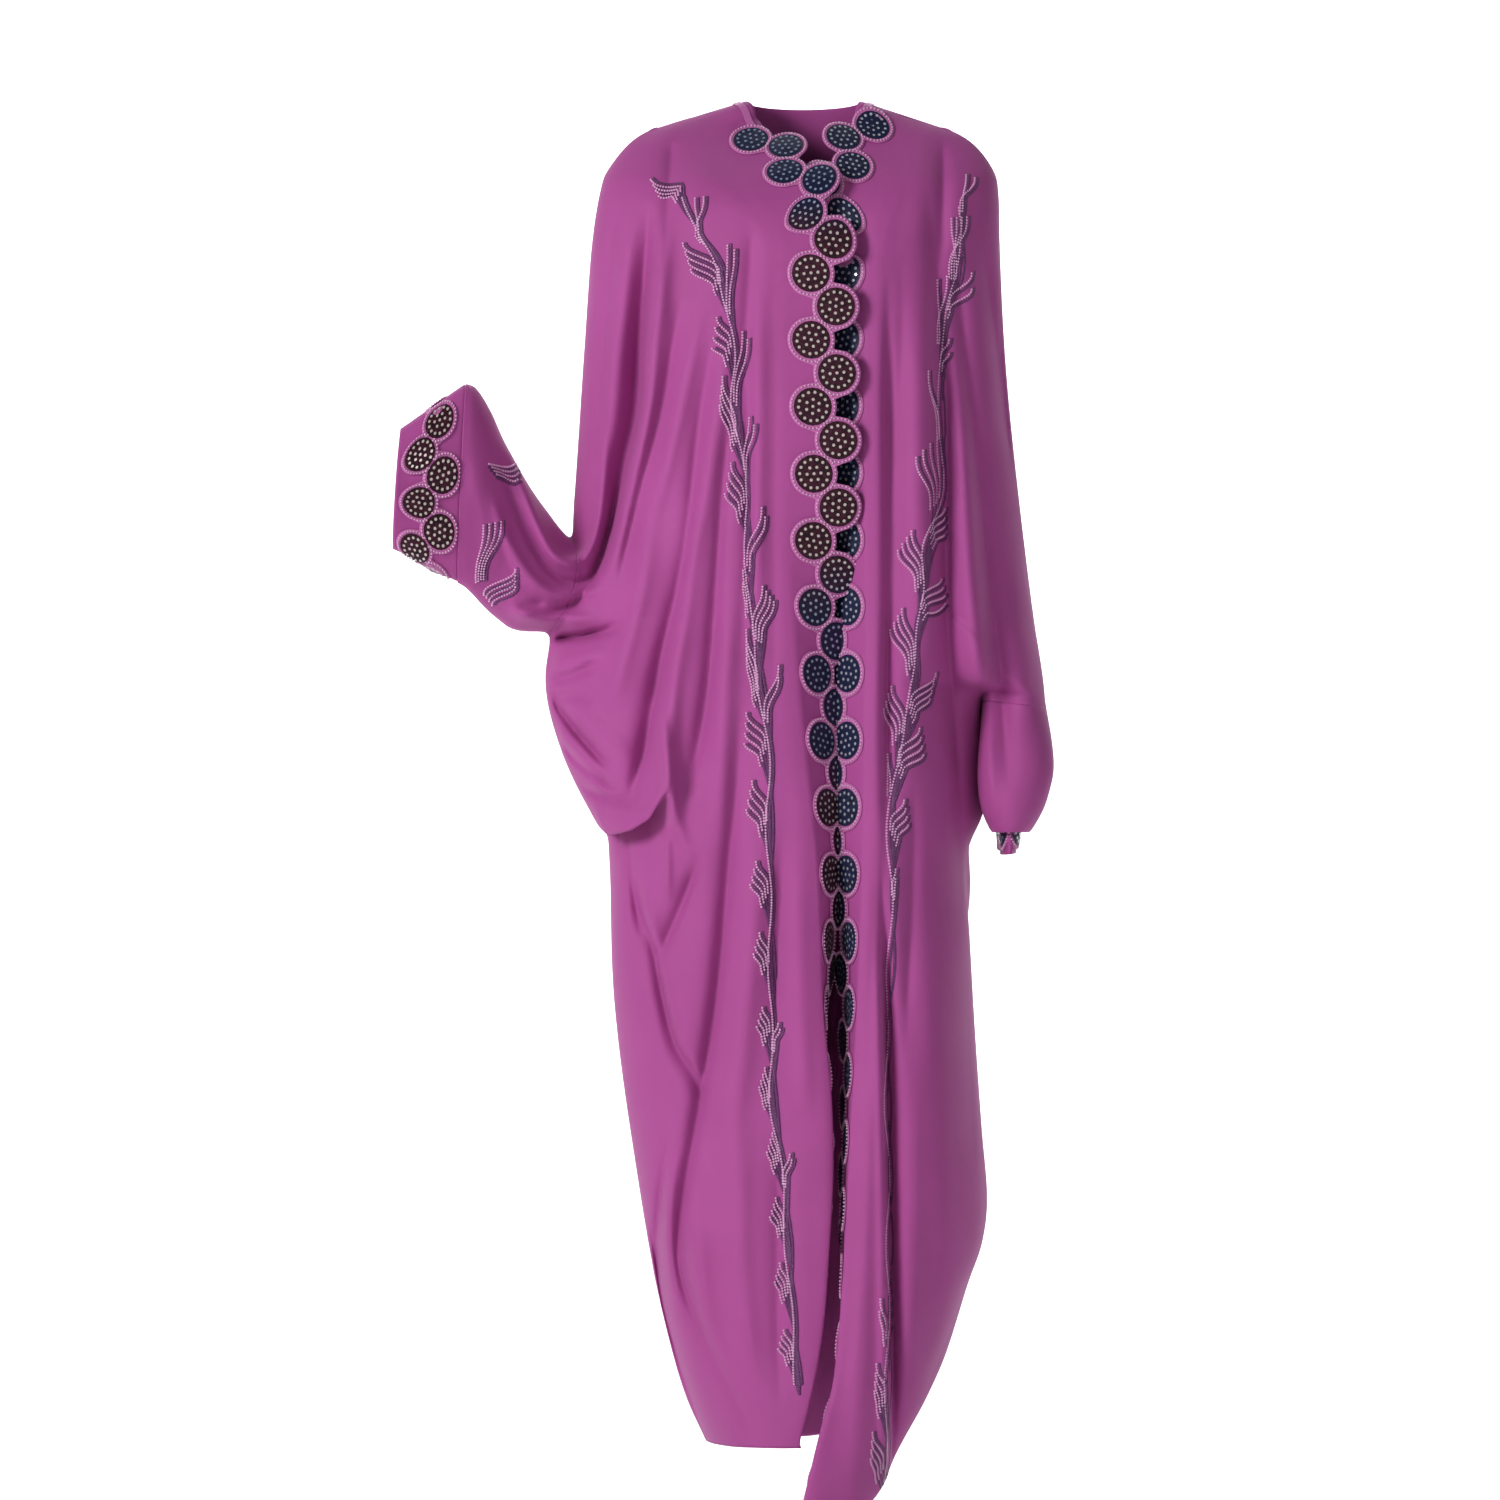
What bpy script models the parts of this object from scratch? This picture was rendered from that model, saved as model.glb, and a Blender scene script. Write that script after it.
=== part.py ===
"""Open-front batwing kaftan, held in its worn shape: metres, +Z up, the front faces -Y.

The origin lies between the shoulders, where the wearer carries the garment. Right and left are the
wearer's. Each panel is a sheet worked out from short tables of sections, and its wall from the
sheet's points and the same points moved in. The tables are in centimetres.
"""

import math

import bpy
import numpy as np

CM = 0.01

# Cloth and seams, in metres
WALL = 0.0020
SEAM_GAP = 0.0006
SLANTED_GAP = 0.0005
# the least cosine between the two sides of a fold and its middle, past which its wall gets thinner
SHARPEST_FOLD = 0.42

# Disc border, in metres: two staggered columns of discs along every finished edge
DISC_RADIUS = 0.026
DISC_OFFSET = 0.013
DISC_STEP = 0.035
BORDER_WALL = 0.0018
BORDER_LIFT = 0.0016
EDGE_TO_BORDER_LINE = 0.011
BAND = 0.055
BORDER_SAMPLE = 0.00875
BORDER_ENDS = (0.12, 0.02)
CUFF_MARGIN = 0.001
CUFF_DISC_RADIUS = 0.0255
NECK_EXTRA = 0.020
NECK_LIFT = 0.0009


class Table:
    """A short table with named columns, read at any row by a smooth curve through its rows."""

    def __init__(self, columns, rows):
        values = np.array(rows, float)
        self.columns = {name: values[:, i] for i, name in enumerate(columns.split())}
        self.keys = self.columns[columns.split()[0]]

    def read(self, column, at):
        keys, values = self.keys, self.columns[column]
        slopes = np.gradient(values, keys)
        at = np.clip(np.asarray(at, float), keys[0], keys[-1])
        i = np.clip(np.searchsorted(keys, at, side="right") - 1, 0, len(keys) - 2)
        span = keys[i + 1] - keys[i]
        t = (at - keys[i]) / span
        return (
            values[i] * (2 * t**3 - 3 * t**2 + 1)
            + slopes[i] * span * (t**3 - 2 * t**2 + t)
            + values[i + 1] * (3 * t**2 - 2 * t**3)
            + slopes[i + 1] * span * (t**3 - t**2)
        )

    def point(self, at):
        return np.stack([self.read(c, at) for c in ("x", "y", "z")], axis=-1) * CM


# Outline of the right side, from the shoulder down the bent arm, past the sleeve opening between
# rows 9 and 11, round the hanging bag of cloth to its lip at row 15, and down the side seam.
SIDE_RIGHT = Table(
    "row x z y",
    [
        (0, -15.5, -1.8, 0.0),
        (1, -18.6, -3.4, 0.0),
        (2, -20.6, -5.8, 0.0),
        (3, -21.5, -8.8, 0.0),
        (4, -22.2, -13.1, -0.2),
        (6, -23.1, -25.0, -0.8),
        (8, -24.2, -41.5, -2.0),
        (9, -24.6, -45.7, -2.5),
        (11, -26.8, -55.3, -2.5),
        (12, -27.2, -61.4, -1.5),
        (13, -25.6, -67.7, -0.5),
        (14, -23.2, -73.0, 0.5),
        (15, -20.9, -76.3, 1.0),
        (16, -20.5, -79.5, 1.0),
        (18, -20.0, -94.0, 0.5),
        (20, -18.0, -109.7, 0.5),
        (22, -14.8, -127.6, 1.0),
        (23, -12.6, -135.6, 1.0),
        (24, -10.3, -140.8, 1.0),
    ],
)

# Outline of the left side: the arm hangs, the sleeve leaves downwards between rows 9 and 11, and
# row 11 is the top of the cleft between the sleeve and the body.
SIDE_LEFT = Table(
    "row x z y",
    [
        (0, 14.9, -1.8, 0.0),
        (1, 18.3, -3.4, 0.0),
        (2, 20.2, -5.8, 0.0),
        (3, 20.8, -8.9, 0.0),
        (4, 20.9, -14.2, 0.0),
        (6, 21.9, -31.0, 0.5),
        (8, 24.7, -55.0, 0.5),
        (9, 25.9, -62.5, 0.5),
        (11, 18.9, -61.4, 0.5),
        (12, 18.3, -69.0, 1.0),
        (13, 18.0, -76.1, 1.0),
        (14, 17.5, -80.5, 1.0),
        (15, 17.8, -88.7, 1.0),
        (17, 19.0, -107.6, 1.0),
        (18, 19.6, -115.0, 1.0),
        (19, 19.1, -119.7, 1.0),
        (20, 17.8, -123.5, 1.0),
        (22, 14.4, -133.4, 1.0),
        (23, 12.5, -136.2, 1.0),
        (24, 10.7, -138.1, 1.0),
    ],
)
OPENING = (9.0, 11.0)
# how far the opening swells towards the front or back, and towards the middle
OPENING_FRONT = {"right": (4.6, 2.4), "left": (7.0, 0.0)}
OPENING_BACK = {"right": (4.2, 0.6), "left": (7.0, 0.0)}
BACK_BOW = 0.25

# Right front: the line where the bordered edge band starts, and how far that band is turned in,
# in degrees. From row 18 down it is folded right under, so its border faces the body. full bends
# the section from the fold line to the side: low is a squarer bulge, 2 a flat slope.
FOLD_RIGHT = Table(
    "row x z y turn full",
    [
        (0, -11.3, -0.5, -0.1, 0, 0.86),
        (1, -10.9, -3.0, -3.2, 0, 0.86),
        (2, -9.8, -5.6, -6.0, 0, 0.86),
        (3, -8.2, -8.0, -8.3, 0, 0.86),
        (4, -6.2, -10.4, -10.1, 0, 0.91),
        (5, -3.9, -12.6, -11.3, 0, 0.95),
        (6, -2.4, -16.0, -12.4, 0, 1.02),
        (7, -2.3, -24.0, -13.5, 1, 1.1),
        (8, -2.1, -33.0, -14.2, 3, 1.3),
        (9, -2.0, -40.0, -14.4, 6, 1.6),
        (10, -2.0, -46.0, -14.5, 14, 2),
        (11, -1.6, -52.0, -14.6, 28, 1.7),
        (12, -1.0, -59.0, -14.7, 42, 1.1),
        (13, -0.3, -66.0, -14.8, 48, 0.92),
        (14, 0.4, -72.0, -14.9, 52, 0.86),
        (15, 0.9, -76.5, -14.9, 56, 0.86),
        (16, 1.3, -80.5, -14.9, 62, 0.86),
        (17, 1.7, -87.0, -14.9, 74, 0.86),
        (18, 2.1, -95.0, -14.9, 88, 0.86),
        (19, 3.0, -103.0, -14.8, 105, 0.86),
        (20, 3.4, -111.0, -14.7, 124, 0.86),
        (21, 3.1, -119.5, -14.5, 140, 0.86),
        (22, 2.5, -128.0, -14.2, 150, 0.86),
        (23, 1.2, -135.5, -13.9, 152, 0.86),
        (24, -0.2, -140.6, -13.5, 152, 0.86),
    ],
)
NECK_RIGHT = Table(
    "row x z y",
    [
        (0, -6.1, 1.2, 0.0),
        (1, -5.4, -0.9, -2.6),
        (2, -4.3, -2.9, -4.9),
        (3, -2.9, -4.8, -6.8),
        (4, -1.2, -7.0, -8.5),
        (5, 1.0, -10.0, -10.2),
        (6, 3.1, -16.0, -12.4),
    ],
)

# Left front: the edge of its outermost fold, how far the band behind it is turned in, and how late
# the hem of a row turns up to the side.
FOLD_LEFT = Table(
    "row x z y turn late full",
    [
        (0, 11.5, -0.7, -0.1, 0, 1.2, 0.86),
        (1, 11.5, -3.0, -3.0, 0, 1.2, 0.87),
        (2, 11.1, -5.6, -5.4, 0, 1.2, 0.89),
        (3, 10.4, -8.0, -7.5, 4, 1.2, 0.9),
        (4, 9.4, -10.4, -9.1, 10, 1.2, 1),
        (5, 8.2, -12.8, -10.2, 22, 1.2, 1.1),
        (6, 7.2, -16.0, -11.2, 38, 1.2, 1.23),
        (7, 6.9, -24.0, -12.4, 52, 1.2, 1.35),
        (8, 6.8, -36.0, -13.3, 64, 1.2, 1.5),
        (9, 6.9, -48.0, -13.6, 82, 1.2, 1.8),
        (10, 6.9, -54.0, -13.8, 85, 1.2, 2),
        (11, 6.8, -60.0, -14.0, 88, 1.2, 1.6),
        (12, 6.7, -68.0, -14.2, 89, 1.2, 1.1),
        (13, 6.5, -76.0, -14.4, 89, 1.2, 0.92),
        (14, 6.3, -82.0, -14.6, 88, 1.3, 0.86),
        (15, 5.9, -90.0, -14.9, 84, 1.3, 0.86),
        (16, 5.4, -100.0, -15.2, 76, 1.3, 0.86),
        (17, 4.9, -108.0, -15.4, 64, 1.4, 0.86),
        (18, 4.5, -116.0, -15.6, 66, 1.6, 0.86),
        (19, 4.1, -122.0, -15.7, 80, 1.8, 0.86),
        (20, 3.6, -128.0, -15.8, 100, 2.2, 0.86),
        (21, 2.8, -134.0, -15.8, 114, 2.8, 0.86),
        (22, 1.4, -139.0, -15.8, 120, 3.6, 0.86),
        (23, 0.3, -143.5, -15.7, 122, 4.6, 0.86),
        (24, -0.7, -147.5, -15.6, 124, 5.5, 0.86),
    ],
)
NECK_LEFT = Table(
    "row x z y",
    [
        (0, 6.3, 1.2, 0.0),
        (1, 6.1, -1.0, -2.3),
        (2, 5.9, -3.2, -4.3),
        (3, 5.5, -5.2, -6.0),
        (4, 5.0, -7.3, -7.5),
        (5, 3.6, -10.6, -7.9),
        (6, 2.9, -16.0, -7.8),
    ],
)
NECK_ROWS = 6.0

# Centre line of the back
BACK = Table(
    "row x z y full",
    [
        (0, 0.1, 0.5, 5.4, 0.86),
        (1, 0.1, -2.5, 7.0, 0.87),
        (2, 0.1, -6.0, 8.3, 0.88),
        (3, 0.1, -10.0, 9.4, 0.89),
        (4, 0.1, -14.5, 10.1, 0.9),
        (6, 0.1, -26.0, 10.4, 1.15),
        (8, 0.1, -39.0, 10.2, 1.4),
        (9, 0.1, -46.0, 10.3, 1.7),
        (11, 0.1, -58.0, 11.0, 1.6),
        (13, 0.1, -71.0, 11.8, 0.92),
        (15, 0.1, -84.0, 12.4, 0.86),
        (17, 0.1, -98.0, 13.0, 0.86),
        (19, 0.1, -112.0, 13.4, 0.86),
        (21, 0.1, -125.0, 13.6, 0.86),
        (23, 0.1, -137.0, 13.4, 0.86),
        (24, 0.1, -141.5, 13.2, 0.86),
    ],
)
NECK_HALF = (6.1, 6.3)
NECK_SHARE = 0.34
NECK_DEEP, NECK_DIP = 5.4, 0.7
YOKE_ROWS = 2.6

FOLD_DEPTH = 1.2

# Largest folds of the fronts, seen from the front. Each runs on a curve through three points,
# half is its half width and rise its height, below zero for a trough.
FOLDS_FRONT = Table(
    "x0 z0 x1 z1 x2 z2 half rise",
    [
        # right arm: the deep trough between the sleeve and the chest, with a ridge on each side
        (-15.6, -12.5, -15.9, -34.0, -21.4, -48.5, 1.9, -3.3),
        (-18.6, -14.0, -19.4, -32.0, -22.8, -45.0, 2.2, 1.2),
        (-12.4, -13.0, -13.4, -28.0, -19.2, -47.0, 1.8, 1.1),
        # folds that run down from the chest to the gathered point above the hip
        (-5.4, -36.0, -7.4, -54.0, -13.0, -74.0, 1.8, -1.4),
        (-7.8, -48.0, -9.6, -64.0, -9.0, -82.0, 2.2, 1.4),
        (-5.4, -58.0, -7.0, -82.0, -11.0, -108.0, 1.8, -1.8),
        (-4.2, -74.0, -6.0, -96.0, -8.6, -120.0, 2.4, 1.5),
        # swag below the elbow: the trough under the forearm and the outer panel behind its edge
        (-25.6, -58.0, -22.6, -57.6, -18.0, -55.4, 1.4, -1.9),
        (-18.2, -77.0, -16.8, -88.0, -12.2, -103.0, 1.8, -2.2),
        # folds above the right hem
        (-12.0, -101.0, -15.4, -118.0, -11.0, -139.5, 1.5, 1.2),
        (-14.4, -106.0, -17.4, -121.0, -12.8, -139.0, 1.4, -1.6),
        # left front: troughs along the chest and arm, and the pleat that hides its border
        (13.5, -8.0, 14.0, -30.0, 15.2, -50.0, 1.5, -2.2),
        (14.6, -44.0, 15.9, -62.0, 16.4, -84.0, 1.5, -2.2),
        (16.2, -16.0, 18.0, -38.0, 21.4, -66.0, 1.3, -1.5),
        (11.8, -16.0, 12.0, -40.0, 12.6, -68.0, 1.7, 0.9),
        (17.8, -24.0, 18.4, -44.0, 18.6, -58.0, 1.5, 0.9),
        (8.9, -16.0, 9.0, -46.0, 8.6, -84.0, 1.1, -1.5),
        (8.4, -78.0, 8.8, -110.0, 8.4, -150.0, 1.2, -2.2),
        (13.4, -82.0, 13.8, -104.0, 14.0, -124.0, 2.6, 1.2),
        (17.2, -84.0, 17.6, -100.0, 18.0, -114.0, 1.4, -1.0),
    ],
)

# Largest folds of the back, in the same columns
FOLDS_BACK = Table(
    "x0 z0 x1 z1 x2 z2 half rise",
    [
        (-3.4, -14.0, -4.0, -70.0, -4.6, -146.0, 1.8, -1.8),
        (3.6, -16.0, 4.2, -72.0, 4.8, -146.0, 1.8, -1.7),
        (0.2, -30.0, 0.2, -80.0, 0.3, -146.0, 2.0, 1.3),
        (-8.2, -18.0, -8.6, -74.0, -7.2, -146.0, 1.9, 1.5),
        (8.4, -18.0, 8.8, -74.0, 8.0, -146.0, 1.9, 1.5),
        (-13.4, -10.0, -12.8, -60.0, -10.4, -140.0, 1.7, -2.3),
        (13.2, -10.0, 13.2, -60.0, 11.6, -140.0, 1.8, -1.9),
        (-17.6, -16.0, -18.6, -36.0, -20.6, -58.0, 1.8, 1.2),
        (17.4, -16.0, 18.2, -36.0, 19.4, -58.0, 1.8, 1.2),
        (-14.0, -34.0, -20.0, -44.0, -24.0, -50.0, 1.3, -1.6),
        (-12.0, -58.0, -20.0, -66.0, -25.0, -64.0, 1.6, -1.5),
        (-11.0, -72.0, -17.0, -78.0, -21.0, -75.0, 1.4, -1.6),
        (-15.6, -80.0, -15.4, -104.0, -12.6, -134.0, 1.5, 1.3),
        (15.8, -66.0, 16.2, -96.0, 14.0, -130.0, 1.5, 1.4),
    ],
)

# Lip of the bag that hangs below the right elbow: it folds over the side panel under it
LIP = Table("x z", [(-30.0, -75.5), (-20.9, -76.3), (-17.0, -76.6), (-15.0, -75.4), (-13.4, -73.0)])
LIP_END, LIP_FADE = -13.2, 3.2
LIP_REACH = 2.4
LIP_DROP, LIP_LIFT = 1.5, 1.6
LIP_OUT, LIP_IN = 1.8, 2.6
LIP_DEPTH = 5.0
RING_COLUMNS = 20
NECK_COLUMNS, SIDE_COLUMNS = 8, 6
TUBE_SEGMENTS = 16
CUFF_DISCS = 5


def clamp01(t):
    return np.clip(t, 0.0, 1.0)


def ease(t):
    t = clamp01(t)
    return t * t * (3 - 2 * t)


def fold_rise(folds, x, z):
    """Height of all folds of a table at points of the front view, in metres."""
    x, z = x / CM, z / CM
    total = np.zeros_like(x)
    t = np.linspace(0, 1, 25)
    for x0, z0, x1, z1, x2, z2, half, rise in zip(*folds.columns.values()):
        px = (1 - t) ** 2 * x0 + 2 * t * (1 - t) * x1 + t**2 * x2
        pz = (1 - t) ** 2 * z0 + 2 * t * (1 - t) * z1 + t**2 * z2
        # nearest place on the curve, with the run along each chord
        best = np.full(x.shape, np.inf)
        where = np.zeros_like(x)
        for i in range(len(t) - 1):
            dx, dz = px[i + 1] - px[i], pz[i + 1] - pz[i]
            along = clamp01(((x - px[i]) * dx + (z - pz[i]) * dz) / (dx * dx + dz * dz))
            away = np.hypot(x - px[i] - along * dx, z - pz[i] - along * dz)
            nearer = away < best
            best = np.where(nearer, away, best)
            where = np.where(nearer, (i + along) / (len(t) - 1), where)
        taper = ease(where / 0.28) * ease((1 - where) / 0.28)
        total += FOLD_DEPTH * rise * taper * np.exp(-((best / half) ** 2))
    return total * CM


def side_point(side, row, face):
    """Seam point of a side. face is -1 for the front panel and 1 for the back panel."""
    table = SIDE_RIGHT if side == "right" else SIDE_LEFT
    point = table.point(row)
    start, end = OPENING
    turn = math.pi * clamp01((row - start) / (end - start))
    arc = opening_point(side, turn, face)
    inside = ((row >= start) & (row <= end))[..., None]
    point = np.where(inside, arc, point)
    slanted = ease((row - 7.0) / 1.0) * ease((13.0 - row) / 1.0)
    point[..., 1] += face * (SEAM_GAP + SLANTED_GAP * slanted)
    return point


def opening_point(side, turn, face):
    """Point of the sleeve opening, turned from its top point round to its foot."""
    table = SIDE_RIGHT if side == "right" else SIDE_LEFT
    top, foot = (table.point(row) for row in OPENING)
    bulge, bow = (OPENING_FRONT if face < 0 else OPENING_BACK)[side]
    arc = (top + foot) / 2 + (top - foot) / 2 * np.cos(turn)[..., None]
    arc[..., 0] += bow * CM * np.sin(turn)
    arc[..., 1] += face * bulge * CM * np.sin(turn)
    return arc


def main_sheet(fold, side, share, late, full):
    """Ring from the fold line (share 0) round to the side (share 1)."""
    turn = share * math.pi / 2
    out = np.sin(turn)[..., None]
    point = fold + (side - fold) * out
    across = np.maximum(np.cos(turn), 0.0) ** full
    point[..., 1] = side[..., 1] + (fold[..., 1] - side[..., 1]) * across
    point[..., 2] = fold[..., 2] + (side[..., 2] - fold[..., 2]) * np.sin(turn) ** late
    return point


def rounded_shoulder(surface, row):
    """Makes the first row leave the shoulder seam level, so that front and back meet smoothly."""
    start, end, plain = surface(np.zeros_like(row)), surface(np.ones_like(row)), surface(row)
    turn = clamp01(row) * math.pi / 2
    rounded = start + (end - start) * np.sin(turn)[..., None]
    rounded[..., 2] = start[..., 2] + (end[..., 2] - start[..., 2]) * (1 - np.cos(turn))
    return np.where((row < 1.0)[..., None], rounded, plain)


def front_base(side, span, row):
    """Front panel before its folds, with its shoulder rounded."""
    return rounded_shoulder(lambda at: front_flat(side, span, at), row)


def front_flat(side, span, row):
    """Front panel before its folds. span is the distance in from the edge on the band, in metres,
    and 1 + share on the ring from the fold line to the side."""
    right = side == "right"
    table = FOLD_RIGHT if right else FOLD_LEFT
    fold = table.point(row)
    neck = (NECK_RIGHT if right else NECK_LEFT).point(np.minimum(row, NECK_ROWS))
    turn = np.radians(table.read("turn", row))
    towards = 1.0 if right else -1.0
    hanging = np.stack([towards * np.cos(turn), np.sin(turn), np.zeros_like(turn)], axis=-1)
    heading = np.where((row < NECK_ROWS)[..., None], (neck - fold) / BAND, hanging)
    band = fold + heading * (BAND - span)[..., None]
    late = np.full_like(row, 1.2) if right else table.read("late", row)
    full = table.read("full", row)
    ring = main_sheet(fold, side_point(side, row, -1), clamp01(span - 1.0), late, full)
    return np.where((span >= 1.0)[..., None], ring, band)


def unit(vectors):
    return vectors / np.maximum(np.linalg.norm(vectors, axis=-1, keepdims=True), 1e-12)


def base_normals(points):
    """Unit normals of a grid of points."""
    return unit(np.cross(np.gradient(points, axis=0), np.gradient(points, axis=1)))


def tuck_under_lip(points):
    """Folds the bag's lip over the side panel: just above the lip the cloth drops forward, and
    just below it the cloth goes up and back. Nothing moves at the side seam."""
    x, z = points[..., 0] / CM, points[..., 2] / CM
    lip = np.interp(x, LIP.columns["x"], LIP.columns["z"])
    deep = np.clip(points[..., 1] / (LIP_DEPTH * CM), -1.0, 1.0)
    share = ease((LIP_END - x) / LIP_FADE) * np.abs(deep)
    below = (lip - z) / LIP_REACH
    over = share * np.exp(-(((below + 0.5) / 0.55) ** 2))
    under = share * np.exp(-(((below - 0.55) / 0.6) ** 2))
    moved = points.copy()
    moved[..., 2] += (under * LIP_LIFT - over * LIP_DROP) * CM
    moved[..., 1] -= (under * LIP_IN - over * LIP_OUT) * CM * deep
    return moved


def outward(points, normal, up_view):
    """Normals turned to face the way the panel is seen from."""
    facing = np.sign(np.sum(normal[..., 1]) * up_view)
    return normal * (facing if facing else 1.0)


def at_opening(row):
    """1 along the sleeve opening, falling to 0 at its two ends."""
    start, end = OPENING
    return ease((row - start) / 0.5) * ease((end - row) / 0.5)


def raise_folds(base, normal, rise, straight):
    """Moves points by their folds: along the surface normal, or straight at the viewer where
    two pieces meet at the sleeve opening."""
    ahead = np.array([0.0, -1.0, 0.0])
    way = normal * (1 - straight)[..., None] + ahead * straight[..., None]
    return base + way * rise[..., None]


def front_spans():
    """Places across a front panel, from the bordered edge to the side seam."""
    ring = 1.0 + np.linspace(0, 1, RING_COLUMNS + 1)
    return np.concatenate([np.linspace(0.0, BAND, 4)[:-1], ring])


def panel_rows():
    """Rows of the panels, closer round the sleeve opening and the lip."""
    return np.array(
        [0, 0.3, 0.7, 1.1, 1.6, 2.3, 3.1, 4.0, 5.0, 6.0, 7.0, 7.8, 8.5]
        + [9, 9.25, 9.5, 9.75, 10, 10.25, 10.5]
        + [10.75, 11, 11.5, 12.1, 12.8, 13.5, 14.1, 14.55, 14.95, 15.35, 15.8, 16.4, 17.1]
        + [17.8, 18.4, 19, 19.6, 20.3, 21.1, 22, 23, 24]
    )


def front_points(side, spans, rows):
    """Grid of outer points of a front panel, with its folds."""
    row, span = np.meshgrid(rows, spans, indexing="ij")
    base = front_base(side, span, row)
    normal = outward(base, base_normals(base), -1)
    rise = fold_rise(FOLDS_FRONT, base[..., 0], base[..., 2])
    # the folds fade out on the bordered band and at the seams, save at the sleeve opening
    share = span - 1.0
    opening = at_opening(row)
    keep = ease(share / 0.12) * clamp01(row / 1.2)
    keep = keep * np.maximum(1 - ease((share - 0.8) / 0.2), opening)
    straight = ease((share - 0.55) / 0.4) * opening
    points = raise_folds(base, normal, rise * keep, straight)
    return tuck_under_lip(points) if side == "right" else points


def back_flat(share, row):
    """Back panel before its folds. A share runs from -1 at the right side to 1 at the left."""
    centre = BACK.point(row)
    late = np.full_like(row, 1.6)
    full = BACK.read("full", row)
    right = main_sheet(centre, side_point("right", row, 1), np.abs(share), late, full)
    left = main_sheet(centre, side_point("left", row, 1), np.abs(share), late, full)
    ring = np.where((share < 0)[..., None], right, left)
    # the shoulder seams and the curved neck edge between them
    part = np.abs(share)
    round_neck = clamp01(part / NECK_SHARE) * math.pi / 2
    along = clamp01((part - NECK_SHARE) / (1 - NECK_SHARE))
    half = np.where(share < 0, NECK_HALF[0], NECK_HALF[1]) * CM
    tip_x = np.where(share < 0, -SIDE_RIGHT.read("x", 0.0), SIDE_LEFT.read("x", 0.0)) * CM
    tip_z = SIDE_RIGHT.read("z", 0.0) * CM
    neck_z = NECK_RIGHT.read("z", 0.0) * CM
    x = np.sign(share) * (half * np.sin(round_neck) + (tip_x - half) * along)
    y = SEAM_GAP + NECK_DEEP * CM * np.cos(round_neck)
    z = neck_z - NECK_DIP * CM * np.cos(round_neck) + (tip_z - neck_z) * along
    yoke = np.stack([x, y, z], axis=-1)
    blend = ease(row / YOKE_ROWS)[..., None]
    return yoke * (1 - blend) + ring * blend


def back_base(share, row):
    return rounded_shoulder(lambda at: back_flat(share, at), row)


def back_points(shares, rows):
    """Grid of outer points of the back, with its folds."""
    row, share = np.meshgrid(rows, shares, indexing="ij")
    base = back_base(share, row)
    normal = outward(base, base_normals(base), 1)
    rise = fold_rise(FOLDS_BACK, base[..., 0], base[..., 2]) * clamp01(row / 1.2)
    seam = 1 - ease((np.abs(share) - 0.85) / 0.15)
    points = base + normal * (rise * seam)[..., None]
    return np.where((share < -0.3)[..., None], tuck_under_lip(points), points)


def disc_extents(along, radius, offset, step):
    """How far a chain of staggered discs reaches to each side of its middle line."""
    reach = {}
    for towards in (-1, 1):
        best = np.full_like(along, -1.0)
        first = math.floor(along.min() / step) - 1
        for k in range(first, math.ceil(along.max() / step) + 2):
            away = np.abs(along - k * step)
            chord = np.sqrt(np.maximum(radius**2 - away**2, 0.0))
            side = offset if k % 2 else -offset
            best = np.where(away < radius, np.maximum(best, towards * side + chord), best)
        reach[towards] = best
    return reach[-1], reach[1]


def by_length(points, count=None, spacing=None):
    """Places evenly spaced along a line of points, as fractional indices, with their lengths."""
    length = np.concatenate([[0], np.cumsum(np.linalg.norm(np.diff(points, axis=0), axis=1))])
    if count is None:
        count = int(round(length[-1] / spacing)) + 1
    at = np.linspace(0, length[-1], count)
    return np.interp(at, length, np.arange(len(points))), at


def at_distance(line, distance):
    """Point at a distance along a line of points, run on straight before its first point."""
    steps = np.linalg.norm(np.diff(line, axis=0), axis=1)
    if distance < 0:
        return line[0] + (line[1] - line[0]) / steps[0] * distance
    length = np.concatenate([[0], np.cumsum(steps)])
    return np.array([np.interp(distance, length, line[:, i]) for i in range(3)])


def strip_on(lines, index, distances):
    """Strip on a panel's own points. lines run in from the panel's edge. Each place has the number
    of its line, which may fall between two lines, and its distances in from the edge."""
    points = []
    for at, places in zip(index, distances):
        low = int(min(at, len(lines) - 2))
        share = at - low
        points.append(
            [
                at_distance(lines[low], d) * (1 - share) + at_distance(lines[low + 1], d) * share
                for d in places
            ]
        )
    return np.array(points)


def lifted(points, towards, more=0.0):
    """Moves a strip off its cloth along its own normals, which face roughly towards a way."""
    normal = base_normals(points)
    first = normal[: max(2, len(normal) // 4)]
    facing = np.sign((first @ np.array(towards)).mean())
    return points + facing * normal * (BORDER_LIFT + BORDER_WALL + more)


def front_border(grid, rows):
    """Border strip of a front, from the shoulder seam to the hem."""
    inset = EDGE_TO_BORDER_LINE + NECK_EXTRA * (1 - ease(rows / 3.0))
    fine = np.linspace(BORDER_ENDS[0], len(rows) - 1 - BORDER_ENDS[1], 500)
    inset = np.interp(fine, np.arange(len(rows)), inset)
    path = strip_on(grid, fine, inset[:, None])[:, 0]
    index, along = by_length(path, spacing=BORDER_SAMPLE)
    at = np.arange(len(fine))
    line, middle = np.interp(index, at, fine), np.interp(index, at, inset)
    inner, outer = disc_extents(along, DISC_RADIUS, DISC_OFFSET, DISC_STEP)
    places = np.stack([middle - outer, middle + inner], axis=1)
    return lifted(strip_on(grid, line, places), (0.0, -1.0, 0.0))


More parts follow.
